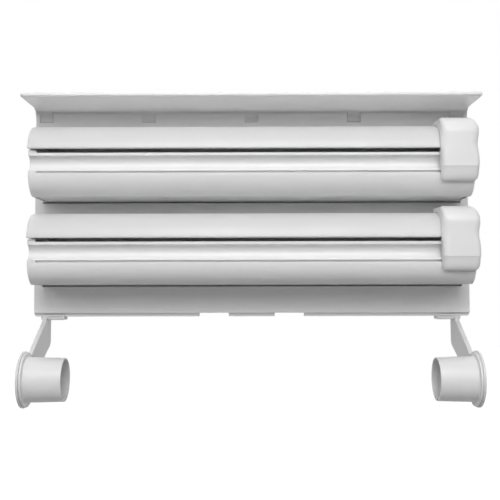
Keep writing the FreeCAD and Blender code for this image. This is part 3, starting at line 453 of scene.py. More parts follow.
@dataclass
class Profile:
    """A closed outline in two directions, with a rounding radius at each of its corners."""

    places: list[np.ndarray] = field(default_factory=list)
    radii: list[np.ndarray] = field(default_factory=list)

    def to(self, first: float, second: float, radius: float = 0.0) -> "Profile":
        """Go on to a corner.

        Args:
            first: Its first coordinate.
            second: Its second one.
            radius: The radius that rounds it.

        Returns:
            The same outline.
        """
        self.places.append(np.array([[first, second]]))
        self.radii.append(np.array([radius]))
        return self

    def arc(self, centre: tuple[float, float], radius: float, first: float, last: float,
            spacing: float = 1.3, last_rounding: float = 0.0) -> "Profile":
        """Go along an arc.

        Args:
            centre: The middle of its circle.
            radius: The circle's radius.
            first: The angle in degrees at which the arc starts.
            last: The angle at which it ends.
            spacing: The rough distance between its points.
            last_rounding: The radius that rounds its last point.

        Returns:
            The same outline.
        """
        steps = max(2, int(abs(math.radians(last - first)) * radius / spacing)) + 1
        self.places.append(on_circle(centre, radius, np.linspace(first, last, steps)))
        self.radii.append(np.append(np.zeros(steps - 1), last_rounding))
        return self

    def points(self, points: np.ndarray) -> "Profile":
        """Go through points that are not rounded.

        Args:
            points: The points, by two coordinates.

        Returns:
            The same outline.
        """
        self.places.append(points)
        self.radii.append(np.zeros(len(points)))
        return self

    def sections(self, insets: np.ndarray, steps: int = 5) -> np.ndarray:
        """Draw the outline in by each of several distances, and round its corners.

        A corner moves along its mitre, the sum of its two edge normals divided by one plus their
        product. Its rounding is an arc of points between the two normals, on a circle whose centre
        lies one radius back along the mitre; drawing in makes it smaller at an outer corner and
        larger at an inner one.

        Args:
            insets: The distances by which the outline is drawn in.
            steps: Points on each rounded corner.

        Returns:
            An array of insets by points by two coordinates.
        """
        corners, radii = np.vstack(self.places), np.concatenate(self.radii)
        following = np.roll(corners, -1, axis=0)
        if np.sum(corners[:, 0] * following[:, 1] - corners[:, 1] * following[:, 0]) < 0:
            corners, radii = corners[::-1], radii[::-1]
        edges = np.roll(corners, -1, axis=0) - corners
        edges = edges / np.linalg.norm(edges, axis=1, keepdims=True)
        after = np.column_stack((edges[:, 1], -edges[:, 0]))
        before = np.roll(after, 1, axis=0)
        mitre = (before + after) / (1 + np.sum(before * after, axis=1, keepdims=True))
        turn = np.arctan2(before[:, 0] * after[:, 1] - before[:, 1] * after[:, 0],
                          np.sum(before * after, axis=1))
        side = np.where(turn < 0, -1.0, 1.0)
        moved = corners - insets[:, None, None] * mitre
        radius = np.maximum(radii - side * insets[:, None], LEAST_ROUNDING)
        radius = np.where(radii > 0, radius, 0.0)
        share = np.linspace(0, 1, steps)
        angle = np.arctan2(before[:, 1], before[:, 0])[:, None] + turn[:, None] * share
        arcs = np.stack((np.cos(angle), np.sin(angle)), axis=-1) - mitre[:, None]
        drawn = moved[:, :, None] + (side * radius)[:, :, None, None] * arcs
        keep = (share == 0) | (radii > 0)[:, None]
        return drawn[:, keep]

    def carried(self, along: Sequence[float], insets: Sequence[float],
                axis: Axis = Axis.X) -> Shape:
        """Carry the outline along an axis.

        Args:
            along: The stations on the axis.
            insets: How far the outline is drawn in at each of them.
            axis: The axis.

        Returns:
            The closed shape.
        """
        drawn = self.sections(np.array(insets, dtype=float))
        stations = np.array(along, dtype=float)[:, None]
        return skinned(axis.place(drawn[..., 0], drawn[..., 1], stations))

    def bar(self, first: float, last: float, rounding: float = 0.0, axis: Axis = Axis.X,
            steps: int = 5) -> Shape:
        """Carry the outline from one place to another, with both ends rounded.

        Near an end, the station and the inset follow a quarter circle: with an angle t from 0 to 90
        degrees, the station is r (1 - cos t) from the end and the inset is r (1 - sin t).

        Args:
            first: Where the bar starts.
            last: Where it ends, further along the axis.
            rounding: The radius r of its end edges, or 0 for sharp ones.
            axis: The axis that it runs along.
            steps: Stations on each rounded end.

        Returns:
            The closed bar.
        """
        if not rounding:
            return self.carried((first, last), (0.0, 0.0), axis)
        angles = np.linspace(0, math.pi / 2, steps)
        reach, inset = rounding * (1 - np.cos(angles)), rounding * (1 - np.sin(angles))
        return self.carried(np.concatenate((first + reach, (last - reach)[::-1])),
                            np.concatenate((inset, inset[::-1])), axis)

    def turned(self, depth: float, height: float, steps: int = 96) -> Shape:
        """Turn the outline, drawn in x and radius, about a line along X.

        A point at x and radius r goes to depth + r cos t and height + r sin t, as t runs through a
        turn.

        Args:
            depth: The line's depth.
            height: The line's height.
            steps: Points round the turn.

        Returns:
            The closed ring.
        """
        outline = self.sections(np.zeros(1))[0]
        angle = np.linspace(0, 2 * math.pi, steps, endpoint=False)[:, None]
        along, radius = outline[:, 0], outline[:, 1]
        rows = Axis.X.place(depth + radius * np.cos(angle), height + radius * np.sin(angle), along)
        return skinned(rows, ring=True)


def box(low: tuple[float, float], high: tuple[float, float], radius: float = 0.0) -> Profile:
    """Return a rectangle between two corners, with its own corners rounded."""
    return (Profile().to(*low, radius).to(high[0], low[1], radius)
            .to(*high, radius).to(low[0], high[1], radius))


def disc(first: float, second: float, radius: float) -> Profile:
    """Return a circle about a point, as an outline."""
    angles = np.linspace(0, 360, 48, endpoint=False)
    return Profile().points(on_circle((first, second), radius, angles))


def hermite(start: tuple[float, float], end: tuple[float, float], leaving: tuple[float, float],
            arriving: tuple[float, float], steps: int) -> np.ndarray:
    """Return points on a smooth curve between two points.

    The curve is the cubic (2t3 - 3t2 + 1) P + (t3 - 2t2 + t) U + (3t2 - 2t3) Q + (t3 - t2) V for t
    from 0 to 1, where U and V are the directions at its ends, made as long as the distance PQ.

    Args:
        start: The first point P, which is left out.
        end: The last point Q.
        leaving: The direction at P.
        arriving: The direction at Q.
        steps: How many points to return.

    Returns:
        The points, as steps by two coordinates.
    """
    first, last = np.array(start), np.array(end)
    length = np.linalg.norm(last - first)
    pulls = [np.array(way) / np.linalg.norm(way) * length for way in (leaving, arriving)]
    t = np.linspace(0, 1, steps + 1)[1:, None]
    return ((2 * t ** 3 - 3 * t ** 2 + 1) * first + (t ** 3 - 2 * t ** 2 + t) * pulls[0]
            + (3 * t ** 2 - 2 * t ** 3) * last + (t ** 3 - t ** 2) * pulls[1])


class Step(Enum):
    """What a shape does to a piece."""

    CUT = "DIFFERENCE"
    JOIN = "UNION"


@dataclass
class Piece:
    """A finished piece: a first shape, from which others are cut or to which they are joined.

    Shapes are given for the lower or left-hand one of a pair. The other one's finished mesh is
    lifted by the rise, or mirrored in the plane X = 0.
    """

    node: str
    start: Shape
    steps: list[tuple[Step, Shape]] = field(default_factory=list)
    rise: float = 0.0
    mirror: bool = False

    def cut(self, *shapes: Shape) -> "Piece":
        """Take shapes away."""
        self.steps.append((Step.CUT, together(shapes)))
        return self

    def join(self, *shapes: Shape) -> "Piece":
        """Add shapes that overlap the piece."""
        self.steps.append((Step.JOIN, together(shapes)))
        return self

    def raw_object(self, shape: Shape) -> bpy.types.Object:
        """Put a shape into the scene.

        Args:
            shape: The shape.

        Returns:
            The new object.
        """
        made = bpy.data.objects.new(self.node + "_shape", shape.mesh(self.node + "_shape"))
        bpy.context.scene.collection.objects.link(made)
        return made

    def solid_mesh(self) -> bpy.types.Mesh:
        """Carry out the cuts and joins.

        Returns:
            The clean closed mesh.
        """
        used = [self.raw_object(self.start)]
        for kind, shape in self.steps:
            tool = self.raw_object(shape)
            used.append(tool)
            step = used[0].modifiers.new("step", "BOOLEAN")
            step.operation = kind.value
            step.solver = "EXACT"
            step.object = tool
        done = used[0].evaluated_get(bpy.context.evaluated_depsgraph_get())
        mesh = bpy.data.meshes.new_from_object(done)
        for each in used:
            data = each.data
            bpy.data.objects.remove(each)
            bpy.data.meshes.remove(data)
        turn = Matrix.Scale(-1.0 if self.mirror else 1.0, 4, (1.0, 0.0, 0.0))
        mesh.transform(Matrix.Translation((0.0, 0.0, self.rise / 1000)) @ turn)
        tidy(mesh)
        mesh.shade_smooth()
        mesh.set_sharp_from_angle(angle=math.radians(SHARP_ANGLE))
        return mesh

    def finish(self) -> bpy.types.Object:
        """Put the piece in the place of its CAD node, on the same body and with the material of the
        same slot.

        Returns:
            The new object.
        """
        mesh = self.solid_mesh()
        mesh.name = self.node + "_finish"
        made = bpy.data.objects.new(self.node + "_finish", mesh)
        bpy.context.scene.collection.objects.link(made)
        shading = made.modifiers.new("even_shading", "WEIGHTED_NORMAL")
        shading.keep_sharp = True
        slot = slot_of(self.node)
        mesh.materials.clear()
        mesh.materials.append(material_of(slot))
        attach(made, body_of(self.node))
        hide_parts(self.node)
        log.info("%s: %d faces", self.node, len(mesh.polygons))
        return made


def slot_of(node: str) -> str:
    """Return the record's material slot of a CAD node."""
    parts = frame["record"]["subparts"]
    return next(part["material_slot"] for part in parts if part["node"] == node)


def body_of(node: str) -> str:
    """Return the body that carries a CAD node."""
    bodies = frame["record"]["behaviour"]["bodies"]
    return next(body for body, nodes in bodies.items() if node in nodes)


@dataclass(frozen=True)
class Layout:
    """The planes that several pieces share."""

    panel_half: float = 192.5
    panel_depth: float = 12.0
    underside: float = 24.7
    height: float = 60.3
    pitch: float = 74.0
    housing_half: float = 185.3
    slot_half: float = 178.4
    curve_depth: float = 43.0
    front: float = 63.0
    edge_height: float = 38.3
    cover_radius: float = 23.0
    trough_radius: float = 20.0
    trough_height: float = 43.5
    pivot: tuple[float, float] = (46.0, 32.5)
    cheek_face: float = 183.0
    cheek_thickness: float = 2.3

    @property
    def edge(self) -> float:
        """The height of the lower cover's front edge."""
        return self.underside + self.edge_height

    @property
    def top(self) -> float:
        """The height of the lower cover's top."""
        return self.underside + self.height

    @property
    def cover_centre(self) -> tuple[float, float]:
        """The depth and height about which the lower cover's front is rounded."""
        return self.curve_depth, self.top - self.cover_radius

    @property
    def trough_centre(self) -> tuple[float, float]:
        """The depth and height about which the lower flap's trough is rounded."""
        return self.curve_depth, self.trough_height


def angle_at(height: float, radius: float) -> float:
    """Return the angle, in degrees, at which a circle is this far above its centre."""
    return math.degrees(math.asin(height / radius))


@dataclass
class WallPanel:
    """The wall panel: the CAD panel, with a narrow shadow gap in its skin below each housing.

    A hollow rib behind the skin closes each gap at its back, and the rail stands back.
    """

    name: str = "back_panel"
    layout: Layout = Layout()
    gap_half: float = 186.0
    gap_height: float = 1.3
    gap_back: float = 4.5
    gap_below: float = 0.1
    gap_wall: float = 1.3
    skin_back: float = 9.5
    step_back: float = 9.7
    step_height: float = 3.4

    def gap(self, rise: float, wall: float, front: float) -> Shape:
        """Return the space of one gap, or the rib around it.

        Args:
            rise: How far its housing is above the lower one.
            wall: The wall around the gap, or 0 for the gap itself.
            front: The depth at which it ends.

        Returns:
            The closed bar.
        """
        top = self.layout.underside - self.gap_below + rise
        outline = box((self.gap_back - wall, top - self.gap_height - wall), (front, top + wall))
        return outline.bar(-self.gap_half - wall, self.gap_half + wall)

    def rail_step(self) -> Shape:
        """Draw the space in front of the rail, which stands back from the panel's face.

        Returns:
            The closed bar.
        """
        plan = self.layout
        outline = box((self.step_back, -self.step_height), (plan.panel_depth + PAST, 0.0))
        return outline.bar(-plan.panel_half - PAST, plan.panel_half + PAST)

    def build(self) -> bpy.types.Object:
        """Make the panel in the place of its CAD node.

        Returns:
            The new object.
        """
        rises, front = (0.0, self.layout.pitch), self.layout.panel_depth + PAST
        ribs = [self.gap(rise, self.gap_wall, self.skin_back + LAP) for rise in rises]
        gaps = [self.gap(rise, 0.0, front) for rise in rises]
        piece = Piece(self.name, cad_copy(self.name))
        return piece.join(*ribs).cut(*gaps, self.rail_step()).finish()


def cad_copy(node: str) -> Shape:
    """Copy a CAD node. Its doubled points are merged when the shape becomes a mesh.

    Args:
        node: The node's name.

    Returns:
        The copy.
    """
    source = frame["nodes"][node]
    data = source.data
    points = np.empty(3 * len(data.vertices))
    data.vertices.foreach_get("co", points)
    corners, starts = np.empty(len(data.loops), dtype=int), np.empty(len(data.polygons), dtype=int)
    data.loops.foreach_get("vertex_index", corners)
    data.polygons.foreach_get("loop_start", starts)
    matrix = np.array(source.matrix_world)
    places = points.reshape(-1, 3) @ matrix[:3, :3].T + matrix[:3, 3]
    return Shape(1000 * places, np.empty((0, 4), dtype=int), np.split(corners, starts[1:]))


@dataclass
class HousingPart:
    """A part of a housing, drawn for the lower one and lifted by a rise for the upper one."""

    name: str
    rise: float
    layout: Layout = Layout()


@dataclass
class TopCover(HousingPart):
    """A fixed cover: a curved skin with end walls, cheeks for the flap's pivots and bosses."""

    wall: float = 2.0
    opening: float = 4.0
    end_wall: float = 2.3
    end_rounding: float = 1.1
    edge_rounding: float = 0.9
    corner_rounding: float = 0.4
    inner_rounding: float = 0.8
    boss_radius: float = 5.2
    bore_radius: float = 2.56
    cheek_back_angle: float = 215.0
    cheek_foot: float = 52.0
    cheek_front: float = 54.8
    cheek_lap: float = 8.5
    cheek_rear_gap: float = 0.1
    cheek_rounding: float = 1.0
    cheek_edge: float = 0.25
    screw_places: tuple[float, float] = (60.0, 140.0)
    screw_drop: float = 4.8
    screw_hole: float = 1.3
    screw_boss: float = 3.2
    screw_boss_length: float = 10.0
    screw_boss_edge: float = 0.4
    rib: float = 1.6
    rib_edge: float = 0.2

    def outside(self) -> Shape:
        """Draw the cover as a full body with rounded ends.

        Returns:
            The closed bar.
        """
        plan = self.layout
        last = angle_at(plan.edge - plan.cover_centre[1], plan.cover_radius)
        outline = Profile().to(plan.panel_depth, plan.edge, self.corner_rounding)
        outline.to(plan.panel_depth, plan.top)
        outline.arc(plan.cover_centre, plan.cover_radius, 90, last,
                    last_rounding=self.edge_rounding)
        return outline.bar(-plan.housing_half, plan.housing_half, self.end_rounding)

    def hollow(self) -> Shape:
        """Draw the space under the skin, open below and behind.

        Returns:
            The closed bar.
        """
        plan = self.layout
        radius = plan.cover_radius - self.wall
        last = angle_at(plan.edge - plan.cover_centre[1], radius)
        behind, below = plan.panel_depth - self.opening, plan.edge - self.opening
        outline = Profile().to(behind, plan.top - self.wall)
        outline.arc(plan.cover_centre, radius, 90, last)
        outline.to(plan.curve_depth + radius, below).to(behind, below)
        inside = plan.housing_half - self.end_wall
        return outline.bar(-inside, inside, self.inner_rounding)

    def cheek(self) -> Shape:
        """Draw the right-hand cheek, which reaches down to the flap's pivot.

        Returns:
            The closed bar.
        """
        plan = self.layout
        lap, rear = plan.edge + self.cheek_lap, plan.panel_depth + self.cheek_rear_gap
        first, last = plan.cheek_face - plan.cheek_thickness, plan.cheek_face + LAP
        outline = Profile().to(rear, lap).to(rear, self.cheek_foot, self.cheek_rounding)
        outline.arc(plan.pivot, self.boss_radius, self.cheek_back_angle, 360)
        outline.to(self.cheek_front, self.cheek_foot, self.cheek_rounding).to(self.cheek_front, lap)
        return outline.bar(first, last, self.cheek_edge)

    def screw_mounts(self) -> tuple[list[Shape], list[Shape], list[Shape]]:
        """Draw what holds the screws.

        Returns:
            The screw bosses, the ribs over them and the holes in them.
        """
        plan = self.layout
        height, half = plan.top - self.screw_drop, self.rib / 2
        rear, front = plan.panel_depth, plan.panel_depth + self.screw_boss_length
        places = [side * place for place in self.screw_places for side in (-1, 1)]
        edge = self.screw_boss_edge
        bosses = [disc(x, height, self.screw_boss).bar(rear, front, edge, Axis.DEPTH)
                  for x in places]
        ribs = [box((x - half, height), (x + half, plan.top - self.wall / 2))
                .bar(rear + self.rib_edge, front - LAP, self.rib_edge, Axis.DEPTH) for x in places]
        holes = [disc(x, height, self.screw_hole).bar(rear - PAST, front + PAST, 0, Axis.DEPTH)
                 for x in places]
        return bosses, ribs, holes

    def build(self) -> bpy.types.Object:
        """Make the cover in the place of its CAD node.

        Returns:
            The new object.
        """
        plan = self.layout
        bosses, ribs, holes = self.screw_mounts()
        bore = disc(*plan.pivot, self.bore_radius)
        bore = bore.bar(plan.cheek_face - plan.cheek_thickness - PAST, plan.cheek_face + PAST)
        piece = Piece(self.name, self.outside(), rise=self.rise)
        piece.cut(self.hollow()).join(*both_sides(self.cheek()))
        return piece.join(*bosses).join(*ribs).cut(*both_sides(bore), *holes).finish()


@dataclass
class FrontFlap(HousingPart):
    """A tilting flap: trough, channel and lip in one skin, with end walls and pivot stubs."""

    wall: float = 2.0
    rear_gap: float = 1.6
    end_rounding: float = 1.0
    corner_rounding: float = 0.5
    inner_rounding: float = 0.6
    opening_rear: float = 6.0
    opening_top: float = 25.0
    sweep_spacing: float = 3.0
    trim_angle: float = 2.0
    channel_radius: float = 6.5
    channel_above_trough: float = 7.95
    channel_forward: float = 0.6
    lip_setback: float = 0.8
    lip_thickness: float = 3.5
    lip_rounding: float = 0.6
    lip_spacing: float = 0.25
    slot_height: float = 2.8
    slot_reach: float = 3.0
    slot_room: float = 9.0
    block_gap: float = 0.7
    groove_height: float = 1.7
    groove_depth: float = 2.8
    groove_above_trough: float = 0.45
    groove_backing: float = 1.6
    groove_floor_edge: float = 0.2
    groove_mouth_edge: float = 0.12
    groove_mouth: float = 0.02
    groove_flare: float = 0.4
    groove_end: float = 0.3
    rib_lap: float = 1.0
    rib_edge: float = 0.4
    stub_radius: float = 2.5
    stub_edge: float = 0.4
    cheek_gap: float = 0.3
    way_above_floor: float = 0.4
    way_past_pivot: float = 1.25

    @property
    def channel_centre(self) -> tuple[float, float]:
        """The depth and height about which the cutter channel is hollowed."""
        plan = self.layout
        return plan.front + self.channel_forward, plan.trough_height + self.channel_above_trough

    @property
    def lip_front(self) -> float:
        """The depth of the lip's front face."""
        return self.layout.front - self.lip_setback

    def channel_angle(self, depth: float, radius: float, side: int) -> float:
        """Return the angle at which a circle about the channel's centre has a depth.

        Args:
            depth: The depth.
            radius: The circle's radius.
            side: 1 above the centre, -1 below it.

        Returns:
            The angle in degrees.
        """
        back = math.degrees(math.acos((depth - self.channel_centre[0]) / radius))
        return back if side > 0 else 360 - back

    def outside(self) -> Shape:
        """Draw the flap as a full body with rounded ends.

        Returns:
            The closed bar.
        """
        plan = self.layout
        rear = plan.panel_depth + self.rear_gap
        top = plan.edge - self.block_gap
        sweep = top - plan.pivot[1]
        outline = Profile().to(rear, plan.underside, self.corner_rounding)
        outline.arc(plan.trough_centre, plan.trough_radius,
                    angle_at(plan.underside - plan.trough_height, plan.trough_radius), 0)
        outline.arc(self.channel_centre, self.channel_radius,
                    self.channel_angle(plan.front, self.channel_radius, -1),
                    self.channel_angle(self.lip_front, self.channel_radius, 1))
        outline.to(self.lip_front, top, self.corner_rounding)
        outline.arc(plan.pivot, sweep, 90, 180, spacing=self.sweep_spacing)
        return outline.bar(-plan.housing_half, plan.housing_half, self.end_rounding)

    def hollow(self) -> Shape:
        """Draw the space inside the trough, open above and behind.

        Its wall follows the inner trough circle of radius R up to where it meets the outer channel
        circle of radius r. With the centres d apart, the meeting point lies (R2 - r2 + d2) / 2d
        along the line from the trough's centre to the channel's, and off it by the rest of R.

        Returns:
            The closed bar.
        """
        plan = self.layout
        inner, outer = plan.trough_radius - self.wall, self.channel_radius + self.wall
        gap = np.array(self.channel_centre) - np.array(plan.trough_centre)
        distance = float(np.hypot(*gap))
        share = (inner ** 2 - outer ** 2 + distance ** 2) / (2 * distance)
        across = math.sqrt(inner ** 2 - share ** 2)
        meeting = (np.array(plan.trough_centre)
                   + (share * gap + across * np.array((gap[1], -gap[0]))) / distance)
        angles = [math.degrees(math.atan2(*(meeting - centre)[::-1]))
                  for centre in (plan.trough_centre, self.channel_centre)]
        lip_rear = self.lip_front - self.lip_thickness
        floor = plan.underside + self.wall
        behind, above = plan.panel_depth - self.opening_rear, plan.edge + self.opening_top
        low = angle_at(floor - plan.trough_height, inner)
        outline = Profile().to(behind, floor).arc(plan.trough_centre, inner, low, angles[0])
        outline.arc(self.channel_centre, outer, angles[1] % 360 - self.trim_angle,
                    self.channel_angle(lip_rear, outer, 1))
        outline.to(lip_rear, above).to(behind, above)
        inside = plan.housing_half - self.wall
        return outline.bar(-inside, inside, self.inner_rounding)

    def tear_slot(self) -> Shape:
        """Draw the space over the lip, which leaves the lip's two long edges rounded.

        Returns:
            The closed bar.
        """
        plan = self.layout
        radius, front, rear = self.lip_rounding, self.lip_front, self.lip_front - self.lip_thickness
        top = plan.edge - self.slot_height
        low, above = top - radius, top + self.slot_room
        behind, before = rear - self.slot_reach, front + self.slot_reach
        outline = Profile().to(before, low)
        outline.arc((front - radius, low), radius, 0, 90, self.lip_spacing)
        outline.arc((rear + radius, low), radius, 90, 180, self.lip_spacing)
        outline.to(behind, low).to(behind, above).to(before, above)
        return outline.bar(-plan.slot_half, plan.slot_half)

    def groove(self) -> Shape:
        """Draw the guide groove under the channel.

        Returns:
            The closed bar.
        """
        plan = self.layout
        middle, flare = plan.trough_height + self.groove_above_trough, self.groove_flare
        low, high = middle - self.groove_height / 2, middle + self.groove_height / 2
        floor, mouth = plan.front - self.groove_depth, plan.front + self.groove_mouth
        before = plan.front + LAP
        inner, outer = self.groove_floor_edge, self.groove_mouth_edge
        outline = Profile().to(floor, low, inner).to(mouth, low, outer).to(before, low - flare)
        outline.to(before, high + flare).to(mouth, high, outer).to(floor, high, inner)
        return outline.bar(-plan.slot_half, plan.slot_half, self.groove_end)

    def groove_rib(self) -> Shape:
        """Draw the rib inside the skin that keeps a wall behind the groove.

        Returns:
            The closed bar.
        """
        plan, backing = self.layout, self.groove_backing
        middle = plan.trough_height + self.groove_above_trough
        half = self.groove_height / 2 + backing
        outline = box((plan.front - self.groove_depth - backing, middle - half),
                      (plan.front - self.rib_lap, middle + half), self.rib_edge)
        return outline.bar(-plan.slot_half - backing, plan.slot_half + backing)

    def build(self) -> bpy.types.Object:
        """Make the flap in the place of its CAD node.

        Returns:
            The new object.
        """
        plan = self.layout
        rear, inside = plan.panel_depth + self.rear_gap, plan.housing_half - self.wall
        cheek = plan.cheek_face - plan.cheek_thickness - self.cheek_gap
        way_end = plan.pivot[0] + self.way_past_pivot
        way_top = plan.underside + self.wall + self.way_above_floor
        way = box((rear - PAST, plan.underside - PAST), (way_end, way_top)).bar(cheek, inside)
        stub = disc(*plan.pivot, self.stub_radius)
        stub = stub.bar(cheek - self.cheek_gap, inside + LAP, self.stub_edge)
        piece = Piece(self.name, self.outside(), rise=self.rise)
        piece.cut(self.hollow()).join(self.groove_rib()).cut(self.tear_slot(), self.groove())
        return piece.cut(*both_sides(way)).join(*both_sides(stub)).finish()


@dataclass
class SlideCutter(HousingPart):
    """The hollow grip of a slide cutter: a round hood, a flat creased face and a round chin."""

    left: float = 156.2
    right: float = 187.5
    wall: float = 1.6
    hood_rear: float = 35.0
    top: float = 89.4
    crown_radius: float = 14.5
    face: float = 71.3
    lean: float = 0.4
    crease_height: float = 47.2
    crease_step: float = 0.25
    chin: tuple[float, float] = (64.6, 35.6)
    chin_edge: float = 0.8
    crease_way: tuple[float, float] = (-0.42, -1.0)
    chin_way: tuple[float, float] = (-1.0, -0.5)
    core: tuple[float, float] = (52.0, 62.0)
    heights: tuple[float, ...] = (35, 40, 48, 54, 58, 62, 65, 68, 72, 76, 81, 89.4)
    left_radii: tuple[float, ...] = (4.6, 4.4, 4.0, 4.2, 5.5, 8.0, 9.4, 9.6, 8.2, 6.4, 4.2, 2.6)
    right_radii: tuple[float, ...] = (5.4, 5.0, 4.0, 4.2, 5.2, 7.0, 8.0, 8.0, 7.4, 7.2, 7.2, 7.4)
    depth_radius: float = 4.8
    least_radius: float = 0.6
    hood_fade: float = 16.0
    hood_share: float = 0.4
    face_fade: tuple[float, float] = (6.0, 4.0)
    thumb_flare: float = 0.9
    finger_pinch: float = 1.2
    waist: float = 66.0
    waist_reach: float = 7.0
    crown: float = 0.3
    crown_fade: float = 5.0
    gap: float = 0.6
    room: float = 10.0
    step_drop: float = 1.2
    boss_x: float = 170.5
    boss_height: float = 56.0
    boss_radius: float = 2.6
    boss_rear: float = 65.8
    screw_hole: float = 1.15
    screw_end: float = 69.8

    def contour(self) -> np.ndarray:
        """Draw the side outline: hood, crown, flat face, crease, round chin and open back.

        Returns:
            The points, by depth and height.
        """
        centre = (self.face - self.crown_radius, self.top - self.crown_radius)
        low, rear, foot = self.face - self.lean, self.hood_rear, self.chin[1]
        hood = np.linspace((rear, self.top), (centre[0], self.top), 12)[:-1]
        arc = on_circle(centre, self.crown_radius, np.linspace(90, 0, 25))
        face = np.linspace((self.face, centre[1]), (low, self.crease_height), 36)[1:]
        under = (low - self.crease_step, self.crease_height - self.crease_step)
        chin = hermite(under, self.chin, self.crease_way, self.chin_way, 24)
        base = np.linspace((self.chin[0] - self.chin_edge, foot), (rear, foot), 20)
        back = np.linspace((rear, foot), (rear, self.top), 14)[1:-1]
        return np.vstack((hood, arc, face, np.array([under]), chin, base, back))[::-1]

    def inward(self, outline: np.ndarray) -> np.ndarray:
        """Return the steps towards the core that go in by one, measured across the outline.

        Args:
            outline: The points of the contour.

        Returns:
            One step for each point.
        """
        slope = np.roll(outline, -1, axis=0) - np.roll(outline, 1, axis=0)
        slope = slope / np.linalg.norm(slope, axis=1, keepdims=True)
        across = np.column_stack((-slope[:, 1], slope[:, 0]))
        pull = np.array(self.core) - outline
        return pull / np.sum(pull * across, axis=1, keepdims=True)

    def side(self, outline: np.ndarray, radii: tuple[float, ...],
             inset: float) -> tuple[np.ndarray, np.ndarray]:
        """Return one flank and its rounded edge, from the core outwards.

        Args:
            outline: The contour, drawn in already.
            radii: The edge's rounding at each of the heights.
            inset: How far the contour was drawn in.

        Returns:
            The points in depth and height, as rows by places by two, and how far each lies inside
            the flank.
        """
        inward = self.inward(outline)
        start, run = self.face_fade
        share = np.clip((outline[:, 0] - self.hood_rear) / self.hood_fade, self.hood_share, 1.0)
        radius = np.interp(outline[:, 1], self.heights, radii) * share
        radius = np.maximum(radius - inset, self.least_radius)
        on_face = np.clip((outline[:, 0] - self.face + start) / run, 0, 1)
        deep = radius + on_face * (np.minimum(radius, self.depth_radius) - radius)
        angles = np.linspace(0, math.pi / 2, 11)[:, None]
        shares = np.array((1.0, 0.75, 0.5, 0.25, 0.1))[:, None, None]
        edge = outline + deep[:, None] * inward
        flank = edge + shares * (np.array(self.core) - edge)
        rounded = outline + (deep * (1 - np.sin(angles)))[..., None] * inward
        level = np.zeros((len(shares), len(outline)))
        return (np.concatenate((flank, rounded)),
                np.concatenate((level, radius * (1 - np.cos(angles)))))

    def body(self, inset: float) -> Shape:
        """Return the grip's outside, or its hollow when it is drawn in.

        The surface has two parameters, the place u round the contour and the station v across the
        width. Over the face, the point is the contour's, moved out by the crown c (1 - q2) with q
        from -1 to 1. Over a rounded edge of radius r, it lies r (1 - sin t) inside the contour, on
        the line to a core point, and r (1 - cos t) inside the flank. Over the flank, it runs on
        along that line to the core. The flanks swell at the waist, where thumb and finger hold it.

        Args:
            inset: How far the surface is drawn in from the outside.

        Returns:
            The closed shape.
        """
        outline = self.contour()
        outline = outline + inset * self.inward(outline)
        left_rows, left_inside = self.side(outline, self.left_radii, inset)
        right_rows, right_inside = self.side(outline, self.right_radii, inset)
        swing = np.exp(-((left_rows[..., 1] - self.waist) / self.waist_reach) ** 2)
        first = self.left + inset + left_inside - self.thumb_flare * swing
        last = self.right - inset - right_inside[::-1] - self.finger_pinch * swing[::-1]
        across = np.linspace(-1, 1, 9)[1:-1, None]
        ahead = np.clip((outline[:, 0] - self.layout.front) / self.crown_fade, 0, 1)
        bulge = self.crown * (1 - across ** 2) * ahead
        front = outline + np.stack((bulge, np.zeros_like(bulge)), axis=-1)
        between = first[-1] + (across + 1) / 2 * (last[0] - first[-1])
        rows = np.concatenate((left_rows, front, right_rows[::-1]))
        along = np.concatenate((first, between, last))
        return skinned(Axis.X.place(rows[..., 0], rows[..., 1], along))

    def clearance(self) -> Shape:
        """Draw the space that the cover and the flap take under the cutter.

        Returns:
            The closed bar.
        """
        plan = self.layout
        cover, trough = plan.cover_radius + self.gap, plan.trough_radius + self.gap
        step, behind = plan.edge - self.step_drop, plan.panel_depth
        low = angle_at(plan.underside - plan.trough_height, trough)
        high = angle_at(step - plan.cover_centre[1], cover)
        outline = Profile().to(behind, plan.underside).arc(plan.trough_centre, trough, low, 0)
        outline.to(plan.front + self.gap, step)
        outline.arc(plan.cover_centre, cover, high, 90, spacing=0.9)
        outline.to(behind, plan.cover_centre[1] + cover)
        return outline.bar(self.left - self.room, self.right + self.room)

    def build(self) -> bpy.types.Object:
        """Make the grip in the place of its CAD node.

        Returns:
            The new object.
        """
        boss = disc(self.boss_x, self.boss_height, self.boss_radius)
        boss = boss.bar(self.boss_rear, self.face - self.lean - self.wall / 2, 0.0, Axis.DEPTH)
        hole = disc(self.boss_x, self.boss_height, self.screw_hole)
        hole = hole.bar(self.boss_rear - PAST, self.screw_end, 0.0, Axis.DEPTH)
        piece = Piece(self.name, self.body(0.0), rise=self.rise).cut(self.body(self.wall))
        return piece.join(boss).cut(hole).cut(self.clearance()).finish()


